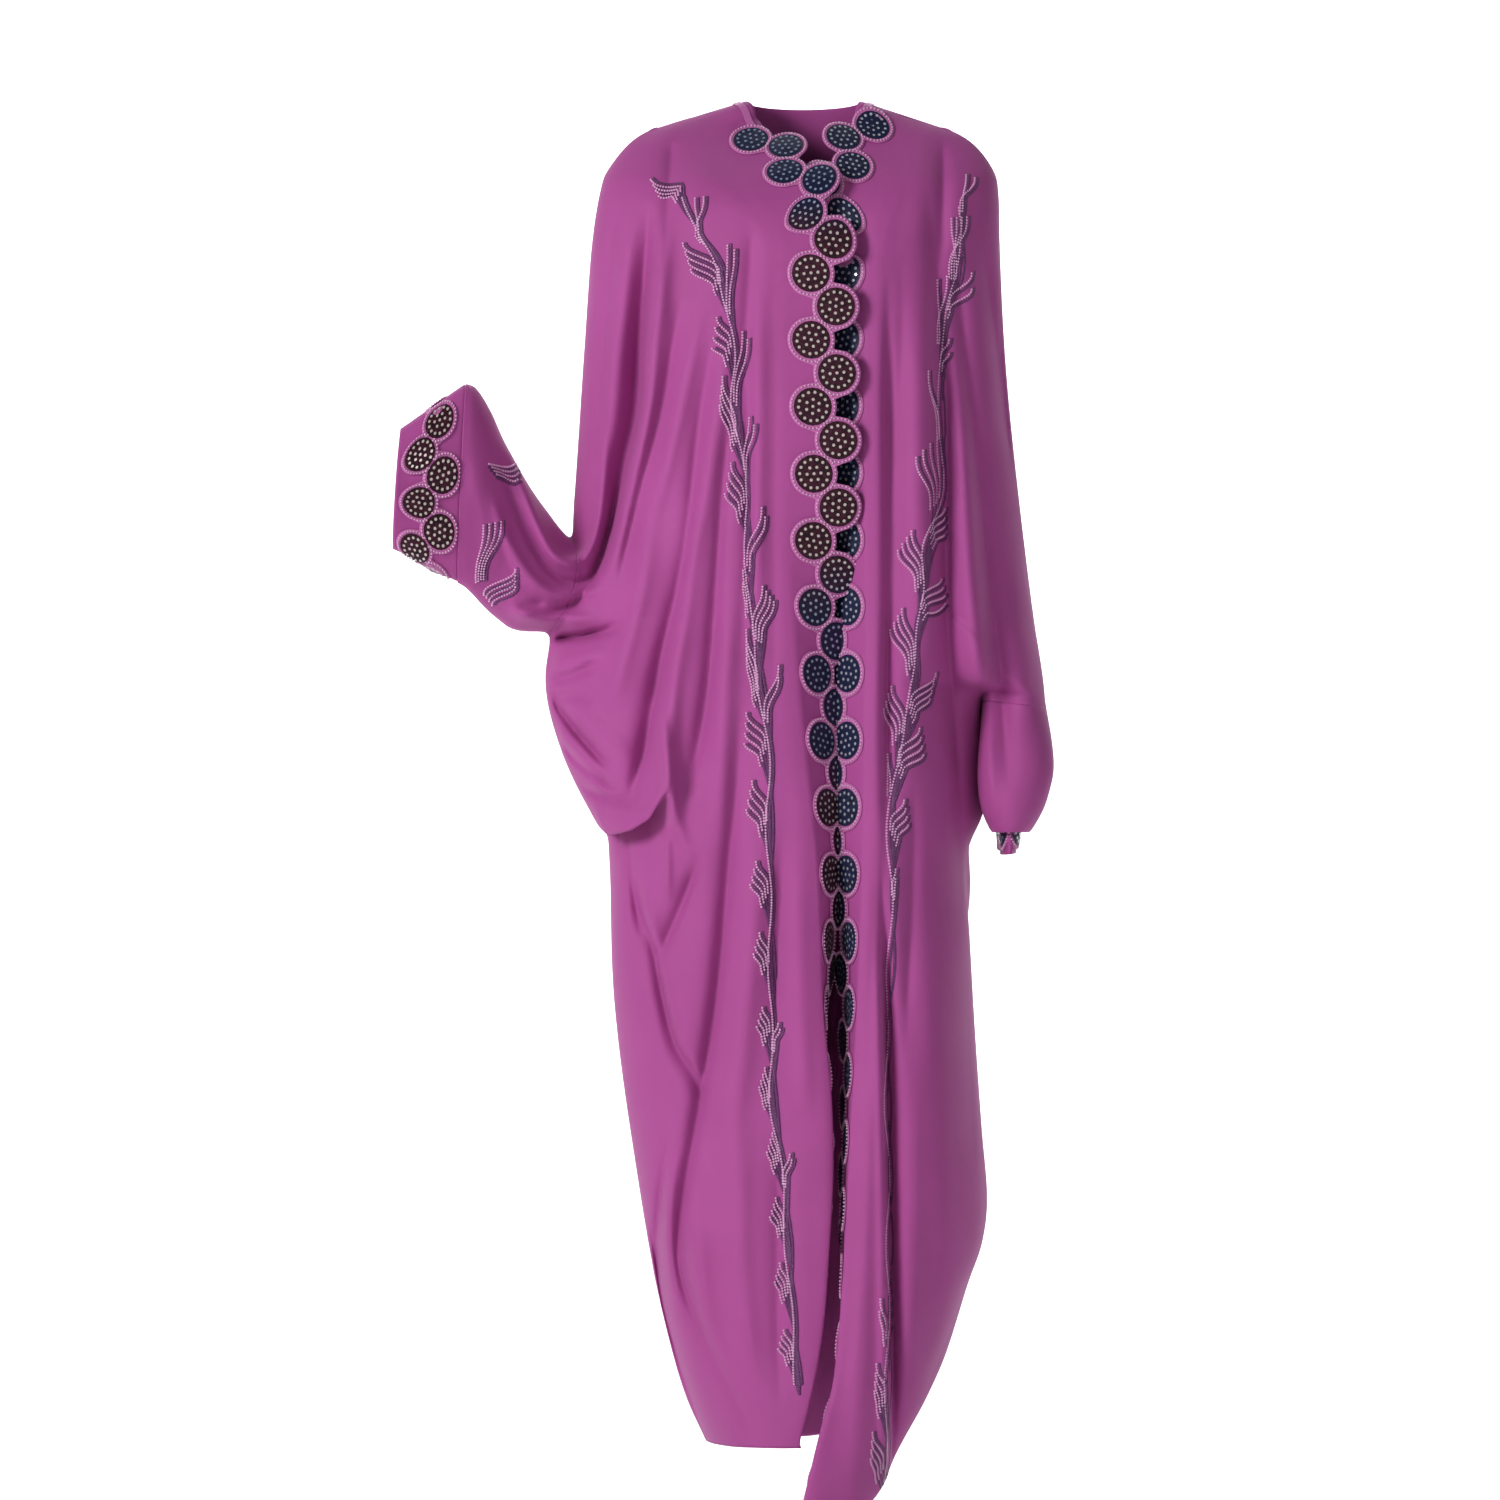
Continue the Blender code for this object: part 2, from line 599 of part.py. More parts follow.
def neck_border(grid, shares):
    """Border strip along the back of the neck, between the shoulder seams."""
    low, high = np.searchsorted(shares, [-NECK_SHARE - 1e-6, NECK_SHARE - 1e-6])
    lines = grid[:, low : high + 1].transpose(1, 0, 2)
    index, along = by_length(lines[:, 0], spacing=BORDER_SAMPLE)
    index = np.clip(index, BORDER_ENDS[0], len(lines) - 1 - BORDER_ENDS[0])
    inner, outer = disc_extents(along, DISC_RADIUS, DISC_OFFSET, DISC_STEP)
    middle = DISC_RADIUS + DISC_OFFSET + 0.002
    share = np.linspace(0, 1, 5)
    places = (middle - outer)[:, None] + (inner + outer)[:, None] * share
    return lifted(strip_on(lines, index, places), (0.0, 1.0, 0.4), NECK_LIFT)


def back_shares():
    """Places across the back, with every other one on the neck edge."""
    neck = np.linspace(-NECK_SHARE, NECK_SHARE, NECK_COLUMNS + 1)
    side = np.linspace(NECK_SHARE, 1.0, SIDE_COLUMNS + 1)[1:]
    return np.concatenate([-side[::-1], neck, side])


def sheet_normals(points, closed):
    """Normals of a grid, so long that a wall moved along them is equally thick at the folds that
    run down it. A closed grid joins its last column to its first."""
    if closed:
        points = np.concatenate([points[:, -1:], points, points[:, :1]], axis=1)
    faces = np.cross(points[1:, :-1] - points[:-1, 1:], points[1:, 1:] - points[:-1, :-1])
    faces = unit(np.pad(unit(faces), ((1, 1), (1, 1), (0, 0)), mode="edge"))
    before, after = unit(faces[:-1, :-1] + faces[1:, :-1]), unit(faces[:-1, 1:] + faces[1:, 1:])
    normal = unit(before + after)
    cosine = (before * normal).sum(axis=-1)
    normal /= np.maximum(cosine, SHARPEST_FOLD)[..., None]
    return normal[:, 1:-1] if closed else normal


def sheet_object(name, points, colour, wall, inside=None, closed=False):
    """Closed mesh of a sheet: its outer points, the same points moved in by the wall, and rims.
    The outer side faces away from the place inside, from a tube's own middle, or to the front."""
    rows, columns = points.shape[:2]
    normal = sheet_normals(points, closed)
    if closed:
        facing = (normal * (points - points.mean(axis=1, keepdims=True))).sum()
    elif inside is not None:
        facing = (normal * (points - np.array(inside))).sum()
    else:
        facing = -normal[: rows // 4, :, 1].mean()
    outward_sign = 1.0 if facing > 0 else -1.0
    inner = points - normal * outward_sign * wall
    count = rows * columns

    every = np.concatenate([points.reshape(-1, 3), inner.reshape(-1, 3)])
    faces = []

    def face(*corners):
        faces.append(corners if outward_sign < 0 else corners[::-1])

    for i in range(rows - 1):
        for j in range(columns if closed else columns - 1):
            k = (j + 1) % columns
            a, b = i * columns + j, i * columns + k
            c, d = b + columns, a + columns
            # both sides of the wall are cut along the same diagonal, the shorter one
            if np.linalg.norm(every[a] - every[c]) > np.linalg.norm(every[b] - every[d]):
                a, b, c, d = b, c, d, a
            face(a, b, c)
            face(a, c, d)
            face(count + c, count + b, count + a)
            face(count + d, count + c, count + a)
    border = [(j, (j + 1) % columns) for j in range(columns if closed else columns - 1)]
    last = (rows - 1) * columns
    for a, b in border:
        face(b, a, count + a, count + b)
        face(last + a, last + b, count + last + b, count + last + a)
    if not closed:
        for i in range(rows - 1):
            a, b = i * columns, (i + 1) * columns
            face(a, b, count + b, count + a)
            face(b + columns - 1, a + columns - 1, count + a + columns - 1, count + b + columns - 1)
    mesh = bpy.data.meshes.new(name)
    mesh.from_pydata([tuple(p) for p in every], [], faces)
    mesh.materials.append(colour)
    mesh.shade_smooth()
    obj = bpy.data.objects.new(name, mesh)
    bpy.context.scene.collection.objects.link(obj)
    return obj


def material(name, colour, roughness):
    made = bpy.data.materials.new(name)
    made.use_nodes = True
    shader = made.node_tree.nodes["Principled BSDF"]
    shader.inputs["Base Color"].default_value = (*colour, 1.0)
    shader.inputs["Roughness"].default_value = roughness
    shader.inputs["Metallic"].default_value = 0.0
    made.diffuse_color = (*colour, 1.0)
    return made


def tube_surface(table, ring, turn):
    """Points of a sleeve or cuff. A ring runs from its top point round the front to its foot."""
    get = {name: table.read(name, ring) * CM for name in table.columns}
    cos, sin = np.cos(turn), np.sin(turn)
    ahead = sin > 0
    x = (get["top_x"] + get["foot_x"]) / 2 + (get["top_x"] - get["foot_x"]) / 2 * cos
    x = x + get["bow"] * np.abs(sin) * np.where(ahead, 1.0, BACK_BOW)
    y = get["mid"] - np.where(ahead, get["front"], get["back"]) * sin
    z = (get["top_z"] + get["foot_z"]) / 2 + (get["top_z"] - get["foot_z"]) / 2 * cos
    return np.stack([x, y, z], axis=-1)


def sleeve_points(table, rings):
    """Grid of a sleeve, with the folds that cross the opening from the front panel."""
    turn = np.linspace(0, 2 * math.pi, TUBE_SEGMENTS, endpoint=False)
    ring, turn = np.meshgrid(rings, turn, indexing="ij")
    base = tube_surface(table, ring, turn)
    rise = fold_rise(FOLDS_FRONT, base[..., 0], base[..., 2])
    end = ease((rings[-1] - ring) / 1.5)
    share = at_opening(OPENING[0] + (OPENING[1] - OPENING[0]) * turn / math.pi)
    normal = np.stack([0 * turn, -np.sin(turn), np.cos(turn)], axis=-1)
    return raise_folds(base, normal, rise * end * share, ease(1 - ring / 3.0))


def cuff_turns(table):
    """Turns round a cuff, evenly spaced along its middle ring, and their lengths along it."""
    turns = np.linspace(0, 2 * math.pi, 181)
    ring = tube_surface(table, np.full_like(turns, table.keys[-1] / 2), turns)
    index, along = by_length(ring, count=8 * CUFF_DISCS + 1)
    return np.interp(index, np.arange(len(turns)), turns)[:-1], along


def cuff_points(table):
    turn, _ = cuff_turns(table)
    ring, turn = np.meshgrid(table.keys, turn, indexing="ij")
    return tube_surface(table, ring, turn)


def cuff_border(grid, table):
    """Border strip right round a cuff, its discs staggered about a line near its middle."""
    _, along = cuff_turns(table)
    step = along[-1] / (2 * CUFF_DISCS)
    inner, outer = disc_extents(along[:-1], CUFF_DISC_RADIUS, DISC_OFFSET, step)
    lines = grid.transpose(1, 0, 2)
    length = np.linalg.norm(lines[:, -1] - lines[:, 0], axis=1)
    middle = length - CUFF_DISC_RADIUS - DISC_OFFSET - CUFF_MARGIN
    places = np.stack([middle - inner, middle + outer], axis=1)
    points = strip_on(lines, np.arange(len(lines)), places)
    normal = sheet_normals(points.transpose(1, 0, 2), True)
    normal *= np.sign((normal * (points - points.mean(axis=0)).transpose(1, 0, 2)).sum())
    return points.transpose(1, 0, 2) + normal * (BORDER_LIFT + BORDER_WALL)


# Right sleeve: rings from the opening at the elbow to the cuff seam. Each has its top point, its
# foot point, its middle depth, how far it swells to the front and to the back, and its bow.
SLEEVE_RIGHT = Table(
    "ring top_x top_z foot_x foot_z mid front back bow",
    [
        (0, -24.6, -45.7, -26.8, -55.3, -2.5, 4.6, 4.2, 2.4),
        (1, -26.0, -43.9, -28.8, -55.5, -3.2, 4.9, 4.4, 1.6),
        (2, -27.8, -41.5, -30.8, -55.0, -4.4, 5.1, 4.4, 0.9),
        (3, -29.7, -38.3, -32.6, -53.6, -5.8, 5.2, 4.4, 0.4),
        (4, -31.4, -35.2, -33.8, -52.4, -7.2, 5.1, 4.3, 0.2),
        (5, -32.7, -32.3, -34.5, -51.6, -8.3, 4.9, 4.1, 0.0),
        (6, -34.2, -30.0, -35.4, -50.7, -9.5, 4.6, 3.9, 0.0),
        (7, -35.3, -29.4, -36.2, -50.2, -10.2, 4.4, 3.7, 0.0),
    ],
)
CUFF_RIGHT = Table(
    "ring top_x top_z foot_x foot_z mid front back bow",
    [
        (0, -35.5, -29.5, -36.4, -50.05, -10.32, 4.3, 3.6, 0.0),
        (1, -42.0, -34.2, -42.8, -46.8, -14.2, 3.5, 3.0, 0.0),
    ],
)
# Left sleeve: top is its outer point and foot its inner one. It blouses over the cuff.
SLEEVE_LEFT = Table(
    "ring top_x top_z foot_x foot_z mid front back bow",
    [
        (0, 25.9, -62.5, 18.9, -61.4, 0.5, 7.0, 7.0, 0.0),
        (1, 26.4, -66.0, 19.1, -65.6, 0.4, 7.9, 7.9, 0.0),
        (2, 26.5, -69.8, 19.0, -70.0, 0.2, 9.1, 9.0, 0.0),
        (3, 25.9, -72.9, 19.0, -73.6, 0.0, 9.6, 9.5, 0.0),
        (4, 25.5, -75.0, 19.1, -75.8, -0.1, 9.6, 9.5, 0.0),
        (5, 24.8, -76.2, 19.65, -76.8, -0.2, 8.75, 8.65, 0.0),
        (6, 24.45, -73.8, 19.8, -74.3, -0.2, 8.3, 8.2, 0.0),
        (7, 23.78, -69.4, 20.26, -69.8, -0.2, 7.8, 7.7, 0.0),
    ],
)
CUFF_LEFT = Table(
    "ring top_x top_z foot_x foot_z mid front back bow",
    [
        (0, 23.74, -69.8, 20.52, -70.2, -0.2, 7.22, 7.12, 0.0),
        (1, 22.6, -78.6, 20.9, -78.8, -0.2, 6.95, 6.85, 0.0),
    ],
)
SLEEVE_RINGS = np.array([0.05, 0.6, 1.2, 1.8, 2.4, 3.0, 3.6, 4.2, 4.8, 5.4, 6.0, 6.5, 7.0])


def main():
    for old in list(bpy.data.objects):
        bpy.data.objects.remove(old, do_unlink=True)
    cloth = material("orchid_crepe", (0.42, 0.078, 0.29), 0.62)
    discs = material("black_disc_border", (0.018, 0.016, 0.022), 0.4)
    rows = panel_rows()
    inside = (0.0, 0.0, -0.6)
    for side in ("right", "left"):
        points = front_points(side, front_spans(), rows)
        sheet_object(f"front_{side}", points, cloth, WALL, inside)
        sheet_object(f"border_front_{side}", front_border(points, rows), discs, BORDER_WALL)
    back = back_points(back_shares(), rows)
    sheet_object("back", back, cloth, WALL, inside)
    neck = neck_border(back, back_shares())
    sheet_object("border_neck_back", neck, discs, BORDER_WALL, (0.0, -0.3, -0.3))
    for side, sleeve, cuff in (
        ("right", SLEEVE_RIGHT, CUFF_RIGHT),
        ("left", SLEEVE_LEFT, CUFF_LEFT),
    ):
        tube = sleeve_points(sleeve, SLEEVE_RINGS)
        sheet_object(f"sleeve_{side}", tube, cloth, WALL, closed=True)
        tube = cuff_points(cuff)
        sheet_object(f"cuff_{side}", tube, cloth, WALL, closed=True)
        border = cuff_border(tube, cuff)
        sheet_object(f"border_cuff_{side}", border, discs, BORDER_WALL, closed=True)


main()
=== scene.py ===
# An open-front batwing kaftan in orchid crepe, held in its worn shape. Metres, +Z up, and the front
# faces -Y. Right and left are the wearer's. Tables of sections and folds are in centimetres.
import math

import bmesh
import bpy
import numpy as np
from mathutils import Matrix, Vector
from mathutils.bvhtree import BVHTree


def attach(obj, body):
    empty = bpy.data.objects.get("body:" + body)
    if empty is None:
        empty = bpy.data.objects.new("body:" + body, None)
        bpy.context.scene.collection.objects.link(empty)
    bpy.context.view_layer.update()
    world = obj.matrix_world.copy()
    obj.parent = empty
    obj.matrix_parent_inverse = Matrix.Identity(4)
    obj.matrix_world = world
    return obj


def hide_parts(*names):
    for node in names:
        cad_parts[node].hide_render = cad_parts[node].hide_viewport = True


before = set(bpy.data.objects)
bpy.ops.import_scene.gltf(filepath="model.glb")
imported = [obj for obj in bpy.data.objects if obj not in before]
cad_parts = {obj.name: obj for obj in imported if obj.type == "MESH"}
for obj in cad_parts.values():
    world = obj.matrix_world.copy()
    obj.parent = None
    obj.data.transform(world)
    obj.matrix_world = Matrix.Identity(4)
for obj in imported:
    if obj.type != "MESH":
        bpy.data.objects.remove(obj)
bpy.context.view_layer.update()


# Right front: one panel of magenta crepe, cut in one with the front half of the batwing and with
# the turned band that carries the border. It hangs from the shoulder seam, folds deeply between
# the arm and the chest, and blouses over the side below the elbow.
CM = 0.01
BAND = 0.055
NECK_ROWS = 6.0
# the sleeve leaves the panels between these rows of the side seam
OPENING = (9.0, 11.0)
OPENING_STEPS = 52
# how late a section drops on its way to the side: 1 is even
FRONT_LATE = 1.2
RING_COLUMNS, BAND_COLUMNS = 106, 12
LAST_ROW, COARSE_ROWS, ROW_SPACING = 24, 481, 0.0045


class Table:
    """A short table with named columns, read at any row by a smooth curve through its rows. A row
    that is cut short ends in noughts."""

    def __init__(self, columns, rows):
        names = columns.split()
        values = np.array([[*row, *[0] * (len(names) - len(row))] for row in rows], float)
        self.columns = {name: values[:, i] for i, name in enumerate(names)}
        self.keys = values[:, 0]

    def read(self, column, at):
        keys, values = self.keys, self.columns[column]
        slopes = np.gradient(values, keys)
        at = np.clip(np.asarray(at, float), keys[0], keys[-1])
        i = np.clip(np.searchsorted(keys, at, side="right") - 1, 0, len(keys) - 2)
        span = keys[i + 1] - keys[i]
        t = (at - keys[i]) / span
        return (
            values[i] * (2 * t**3 - 3 * t**2 + 1)
            + slopes[i] * span * (t**3 - 2 * t**2 + t)
            + values[i + 1] * (3 * t**2 - 2 * t**3)
            + slopes[i + 1] * span * (t**3 - t**2)
        )

    def point(self, at):
        return np.stack([self.read(c, at) for c in ("x", "y", "z")], axis=-1) * CM


SIDE_RIGHT = Table("row x z y", [
    (0, -15.5, -1.8, 0.6), (1, -18.6, -3.4, 0), (2, -20.6, -5.8, 0), (3, -21.5, -8.8, 0),
    (4, -22.2, -13.1, -0.2), (6, -23.1, -25, -0.8), (8, -24.2, -41.5, -2), (9, -24.6, -45.7, -2.5),
    (11, -26.8, -55.3, -2.5), (12, -27.2, -61.4, -1.5), (13, -25.6, -67.7, -0.5),
    (14, -23.2, -73, 0.5), (15, -20.9, -76.3, 1), (16, -20.5, -79.5, 1), (18, -20, -94, 0.5),
    (20, -18, -109.7, 0.5), (22, -14.8, -127.6, 1), (23, -12.6, -135.6, 1), (24, -10.3, -140.8, 1),
])
# Line where the turned band starts, with its turn in degrees and the bend of the section from
# there to the side: low is a squarer bulge, 2 a flat slope
FOLD_RIGHT = Table("row x z y turn full", [
    (0, -11.3, -0.5, 1.4, 0, 0.86), (1, -10.6, -3, -1.8, 0, 0.86), (2, -9.3, -5.6, -5.2, 0, 0.86),
    (3, -7.5, -8, -8.3, 0, 0.86), (4, -5.5, -10.4, -10.7, 0, 0.91), (5, -3.5, -12.8, -12, 0, 0.95),
    (6, -2.4, -16, -12.8, 0, 1.02), (7, -2.3, -24, -13.5, 1, 1.1), (8, -2.1, -33, -14.2, 3, 1.3),
    (9, -2, -40, -14.4, 6, 1.6), (10, -2, -46, -14.5, 14, 2), (11, -1.6, -52, -14.6, 28, 1.7),
    (12, -1, -59, -14.7, 42, 1.1), (13, -0.3, -66, -14.8, 48, 0.92),
    (14, 0.4, -72, -14.9, 52, 0.86), (15, 0.9, -76.5, -14.9, 56, 0.86),
    (16, 1.3, -80.5, -14.9, 62, 0.86), (17, 1.7, -87, -14.9, 74, 0.86),
    (18, 2.1, -95, -14.9, 88, 0.86), (19, 3, -103, -14.8, 105, 0.86),
    (20, 3.4, -111, -14.7, 124, 0.86), (21, 3.1, -119.5, -14.5, 140, 0.86),
    (22, 2.5, -128, -14.2, 150, 0.86), (23, 1.2, -135.5, -13.9, 152, 0.86),
    (24, -0.2, -140.6, -13.5, 152, 0.86),
])
NECK_RIGHT = Table("row x z y", [
    (0, -6.1, 1.2, 2.4), (1, -4.9, -0.6, 0.7), (2, -3.3, -2.7, -1.9), (3, -1.5, -4.7, -4.6),
    (4, 0.9, -6.9, -7.6), (5, 2.3, -10.2, -10.6), (6, 3.1, -16, -12.8),
])
# The swells are those of the sleeve opening, ahead and outwards, and square its front corners
RIGHT = {
    "outline": SIDE_RIGHT, "fold_line": FOLD_RIGHT, "neckline": NECK_RIGHT, "towards": 1.0,
    "front_swell": (4.6, 2.4), "back_swell": (4.2, 0.6), "square": 1.0,
}

# Short folds on a curve through three places: half is the half width, rise the height (below zero
# for a trough), and lean makes the flank on the viewer's right wider
SHORT_FOLDS = "x0 z0 x1 z1 x2 z2 half rise lean"
# Long folds, place by place down their length
LONG_FOLD = "x z half rise lean"
right_short_folds = Table(SHORT_FOLDS, [
    # shoulder and chest
    (-13.7, -1.5, -14, -8, -14.8, -20, 1, -0.8), (-18, -10, -19.4, -26, -20.6, -40, 1.1, 0.9),
    (-19.6, -8, -20.9, -24, -22.2, -40, 0.7, -0.6), (-14.2, -10, -14.6, -18, -15, -26, 0.8, 0.6),
    (-10.6, -20, -12.4, -32, -16.4, -46, 0.8, 0.7), (-7.6, -22, -9, -36, -12.6, -52, 0.9, 0.6),
    (-5.2, -12, -5.9, -20, -6.4, -34, 0.8, -0.6), (-2.7, -13, -2.6, -38, -3.2, -66, 0.8, -0.9, 0.2),
    (-4.4, -16, -4.2, -36, -5.2, -60, 0.8, 0.6), (-5.8, -26, -5.6, -42, -6.4, -60, 0.7, -0.7),
    (-22.9, -26, -23.5, -36, -24.4, -44, 0.5, -0.3),
    # hanging bag below the elbow
    (-27.4, -61, -24.2, -66, -19.4, -70.6, 0.5, -1.8, 0.3),
    (-26, -66.4, -23.2, -70.4, -18.6, -72.4, 0.5, -1.5, 0.3),
    (-23.6, -62.6, -21.6, -66.2, -17.4, -68.4, 0.8, 0.6),
    (-26.8, -63.6, -24, -68.6, -20.4, -71.8, 0.6, 0.9),
    (-27, -62.4, -24.6, -61.6, -21.6, -62.6, 0.5, -0.9),
    (-24, -71, -20.6, -74, -17, -72.4, 0.5, -1.3),
    (-15.4, -61, -14.4, -68, -13.4, -76, 0.8, 1.3, -0.3), (-7.6, -50, -8.4, -64, -8.8, -80, 1, 0.9),
    # the panel under the lip
    (-18.4, -76, -18.2, -82, -16.8, -88, 0.6, -1), (-14.3, -75.6, -14.2, -79, -14.4, -84, 0.5, 0.7),
    (-10.6, -78.4, -12.6, -84, -15.6, -90.6, 0.7, -1.6, -0.4),
    (-16, -80, -16.8, -90, -13.4, -101, 0.9, 0.7), (-4.4, -72, -5.6, -94, -8.6, -116, 1.3, 1),
    (-2.2, -76, -2.7, -88, -3, -100, 0.8, -0.8), (-0.2, -74, -0.2, -92, 0.6, -108, 1, 0.7),
    # above the hem
    (-13.1, -108.6, -15.4, -118, -12.4, -129, 0.7, 0.9),
    (-10.8, -116, -12, -124, -6.6, -137, 1.1, 0.9), (-6, -104, -8, -120, -4.4, -138, 1.2, 0.8),
    (-2.4, -106, -3, -122, -2.4, -138, 0.9, -0.7),
])
right_long_folds = [
    # the deep trough between the arm and the chest, which sweeps out under the forearm
    [(-16.2, -10, 0.9, 0, -0.3), (-16.6, -17, 1, -2, -0.4), (-17.3, -24.7, 1.2, -4, -0.4),
     (-17.6, -31.4, 1.3, -4.6, -0.4), (-18.9, -37.3, 1.2, -4.4, -0.4),
     (-20.1, -43.4, 0.9, -3, -0.3), (-21.4, -47.6, 0.8, -1.6, -0.2), (-23, -50.8, 0.7, 0)],
    # roll on the chest side of that trough
    [(-14.6, -12, 1, 0), (-15.2, -19, 0.9, 0.9), (-15.8, -27, 0.9, 1.3), (-16.6, -33.6, 0.9, 1.3),
     (-17.9, -40, 0.9, 1.2), (-19.2, -45.6, 0.8, 0.9), (-20.6, -50.6, 0.7, 0)],
    # fuller cloth below that step
    [(-26.8, -59, 1.2, 0.6), (-22.6, -58.2, 1.2, 0.9), (-19.4, -56.6, 1.1, 0)],
    # folds down the chest, towards the gathered place above the hip
    [(-12.8, -20, 0.7, 0), (-13.9, -26.8, 0.7, -0.9), (-15.2, -33, 0.8, -1.2),
     (-17, -39.8, 0.8, -1.2), (-18.4, -46, 0.7, -0.9), (-19.4, -51, 0.7, 0)],
    [(-9.4, -24, 0.7, 0), (-10.8, -33.1, 0.8, -0.9), (-11.9, -43, 0.8, -1.3),
     (-13.1, -50.7, 0.9, -1.8), (-15, -58.3, 1, -2.2), (-16.2, -65, 1, -2.4),
     (-17.2, -69.6, 0.9, -1.9), (-18.6, -73.6, 0.8, 0)],
    [(-7.5, -31, 0.7, 0), (-8.4, -39, 0.7, -0.9), (-9.1, -49.9, 0.8, -1.3), (-9.8, -59, 0.8, -1.5),
     (-11, -67, 0.8, -1.4), (-12.4, -73.2, 0.7, 0)],
    # rolls between them
    [(-11.2, -40, 0.9, 0), (-12.4, -52, 1, 1), (-13.6, -61, 0.9, 1.3), (-14, -68, 0.8, 1.5),
     (-13.6, -74, 0.7, 1.2), (-11.8, -79.4, 0.7, 0)],
    [(-15.6, -40, 0.9, 0), (-16.8, -50, 1, 0.8), (-18.8, -58, 1, 1), (-20.6, -64, 0.9, 0)],
    # the fold that runs from the gathered place to the hem
    [(-6.4, -62, 0.9, 0), (-7.2, -72, 0.9, -1), (-7.9, -80.4, 0.9, -1.6), (-9, -92.1, 0.9, -2),
     (-10.2, -100.6, 0.9, -2), (-11.8, -109.9, 0.9, -1.8), (-13, -117.4, 0.8, -1.6),
     (-12.9, -122.6, 0.8, -1.4), (-10.6, -129, 0.8, -1.2), (-7.1, -136, 0.8, -0.8),
     (-5.2, -140, 0.7, 0)],
    # edge of the upper swag, over the panel's outer part
    [(-17.6, -81, 0.6, 0, -0.4), (-17, -84.8, 0.7, -1.6, -0.5), (-15.7, -89, 0.8, -2.4, -0.5),
     (-14.7, -94, 0.8, -2.8, -0.5), (-13.5, -98.4, 0.8, -2.4, -0.5),
     (-11.6, -101.6, 0.7, -1.4, -0.4), (-10.6, -104.6, 0.6, 0, -0.3)],
    [(-14, -108, 0.7, 0), (-15, -114.6, 0.7, -1.5), (-15.5, -120.4, 0.7, -2),
     (-15, -125.8, 0.7, -1.9), (-13.4, -131.6, 0.7, -1.6), (-11.4, -137.4, 0.7, -1),
     (-10.6, -140.4, 0.7, -0.6)],
]

# Lip of the bag below the elbow: it falls over the panel under it
LIP = Table("x z", [
    (-30, -75.5), (-20.9, -76.2), (-18, -75.4), (-16, -74.2), (-14.4, -72.4), (-13, -70.8),
])
LIP_END, LIP_FADE, LIP_REACH = -13.2, 3.2, 2.4
LIP_DROP, LIP_LIFT = 1.9, 1.7
LIP_OUT, LIP_IN = 1.9, 2.7
LIP_DEPTH = 5.0
# middle and half width of the cloth that drops over the lip and of the cloth that goes up behind
LIP_OVER, LIP_UNDER = (-0.5, 0.55), (0.55, 0.6)

# Places of a short fold, places per row of a long one, and the share of a short fold that tapers
SHORT_PLACES, LONG_PLACES, TAPER = 25, 6, 0.3
# How far a fold reaches in half widths, how fast its flank changes sides, and the profiles of
# troughs and rolls: sharpness, rounding, height of the rounded crest and power
FOLD_REACH, FLANK_CHANGE = 4.0, 0.4
TROUGH = (1.25, 0.02, 0.1414, 1.2)
ROLL = (1.15, 0.09, 0.3, 1.6)
# Folds and unevenness set in over the first rows and past the fold line, and the unevenness dies
# out before the side
TOP_ROWS, PAST_FOLD = 1.2, 0.1
FRONT_SIDE, BACK_SIDE = (0.82, 0.18), (0.85, 0.15)


def clamp01(t):
    return np.clip(t, 0.0, 1.0)


def ease(t):
    t = clamp01(t)
    return t * t * (3 - 2 * t)


def unit(vectors):
    return vectors / np.maximum(np.linalg.norm(vectors, axis=-1, keepdims=True), 1e-12)


def fold_strokes(short, long):
    """Folds as lines of places, each with its half width, height and lean."""
    strokes = []
    t = np.linspace(0, 1, SHORT_PLACES)
    taper = ease(t / TAPER) * ease((1 - t) / TAPER)
    for x0, z0, x1, z1, x2, z2, half, rise, lean in zip(*short.columns.values()):
        x = (1 - t) ** 2 * x0 + 2 * t * (1 - t) * x1 + t**2 * x2
        z = (1 - t) ** 2 * z0 + 2 * t * (1 - t) * z1 + t**2 * z2
        strokes.append((x, z, np.full_like(t, half), rise * taper, np.full_like(t, lean)))
    for rows in long:
        table = Table("place " + LONG_FOLD, [(i, *row) for i, row in enumerate(rows)])
        at = np.linspace(0, len(rows) - 1, LONG_PLACES * len(rows))
        strokes.append(tuple(table.read(c, at) for c in LONG_FOLD.split()))
    return strokes


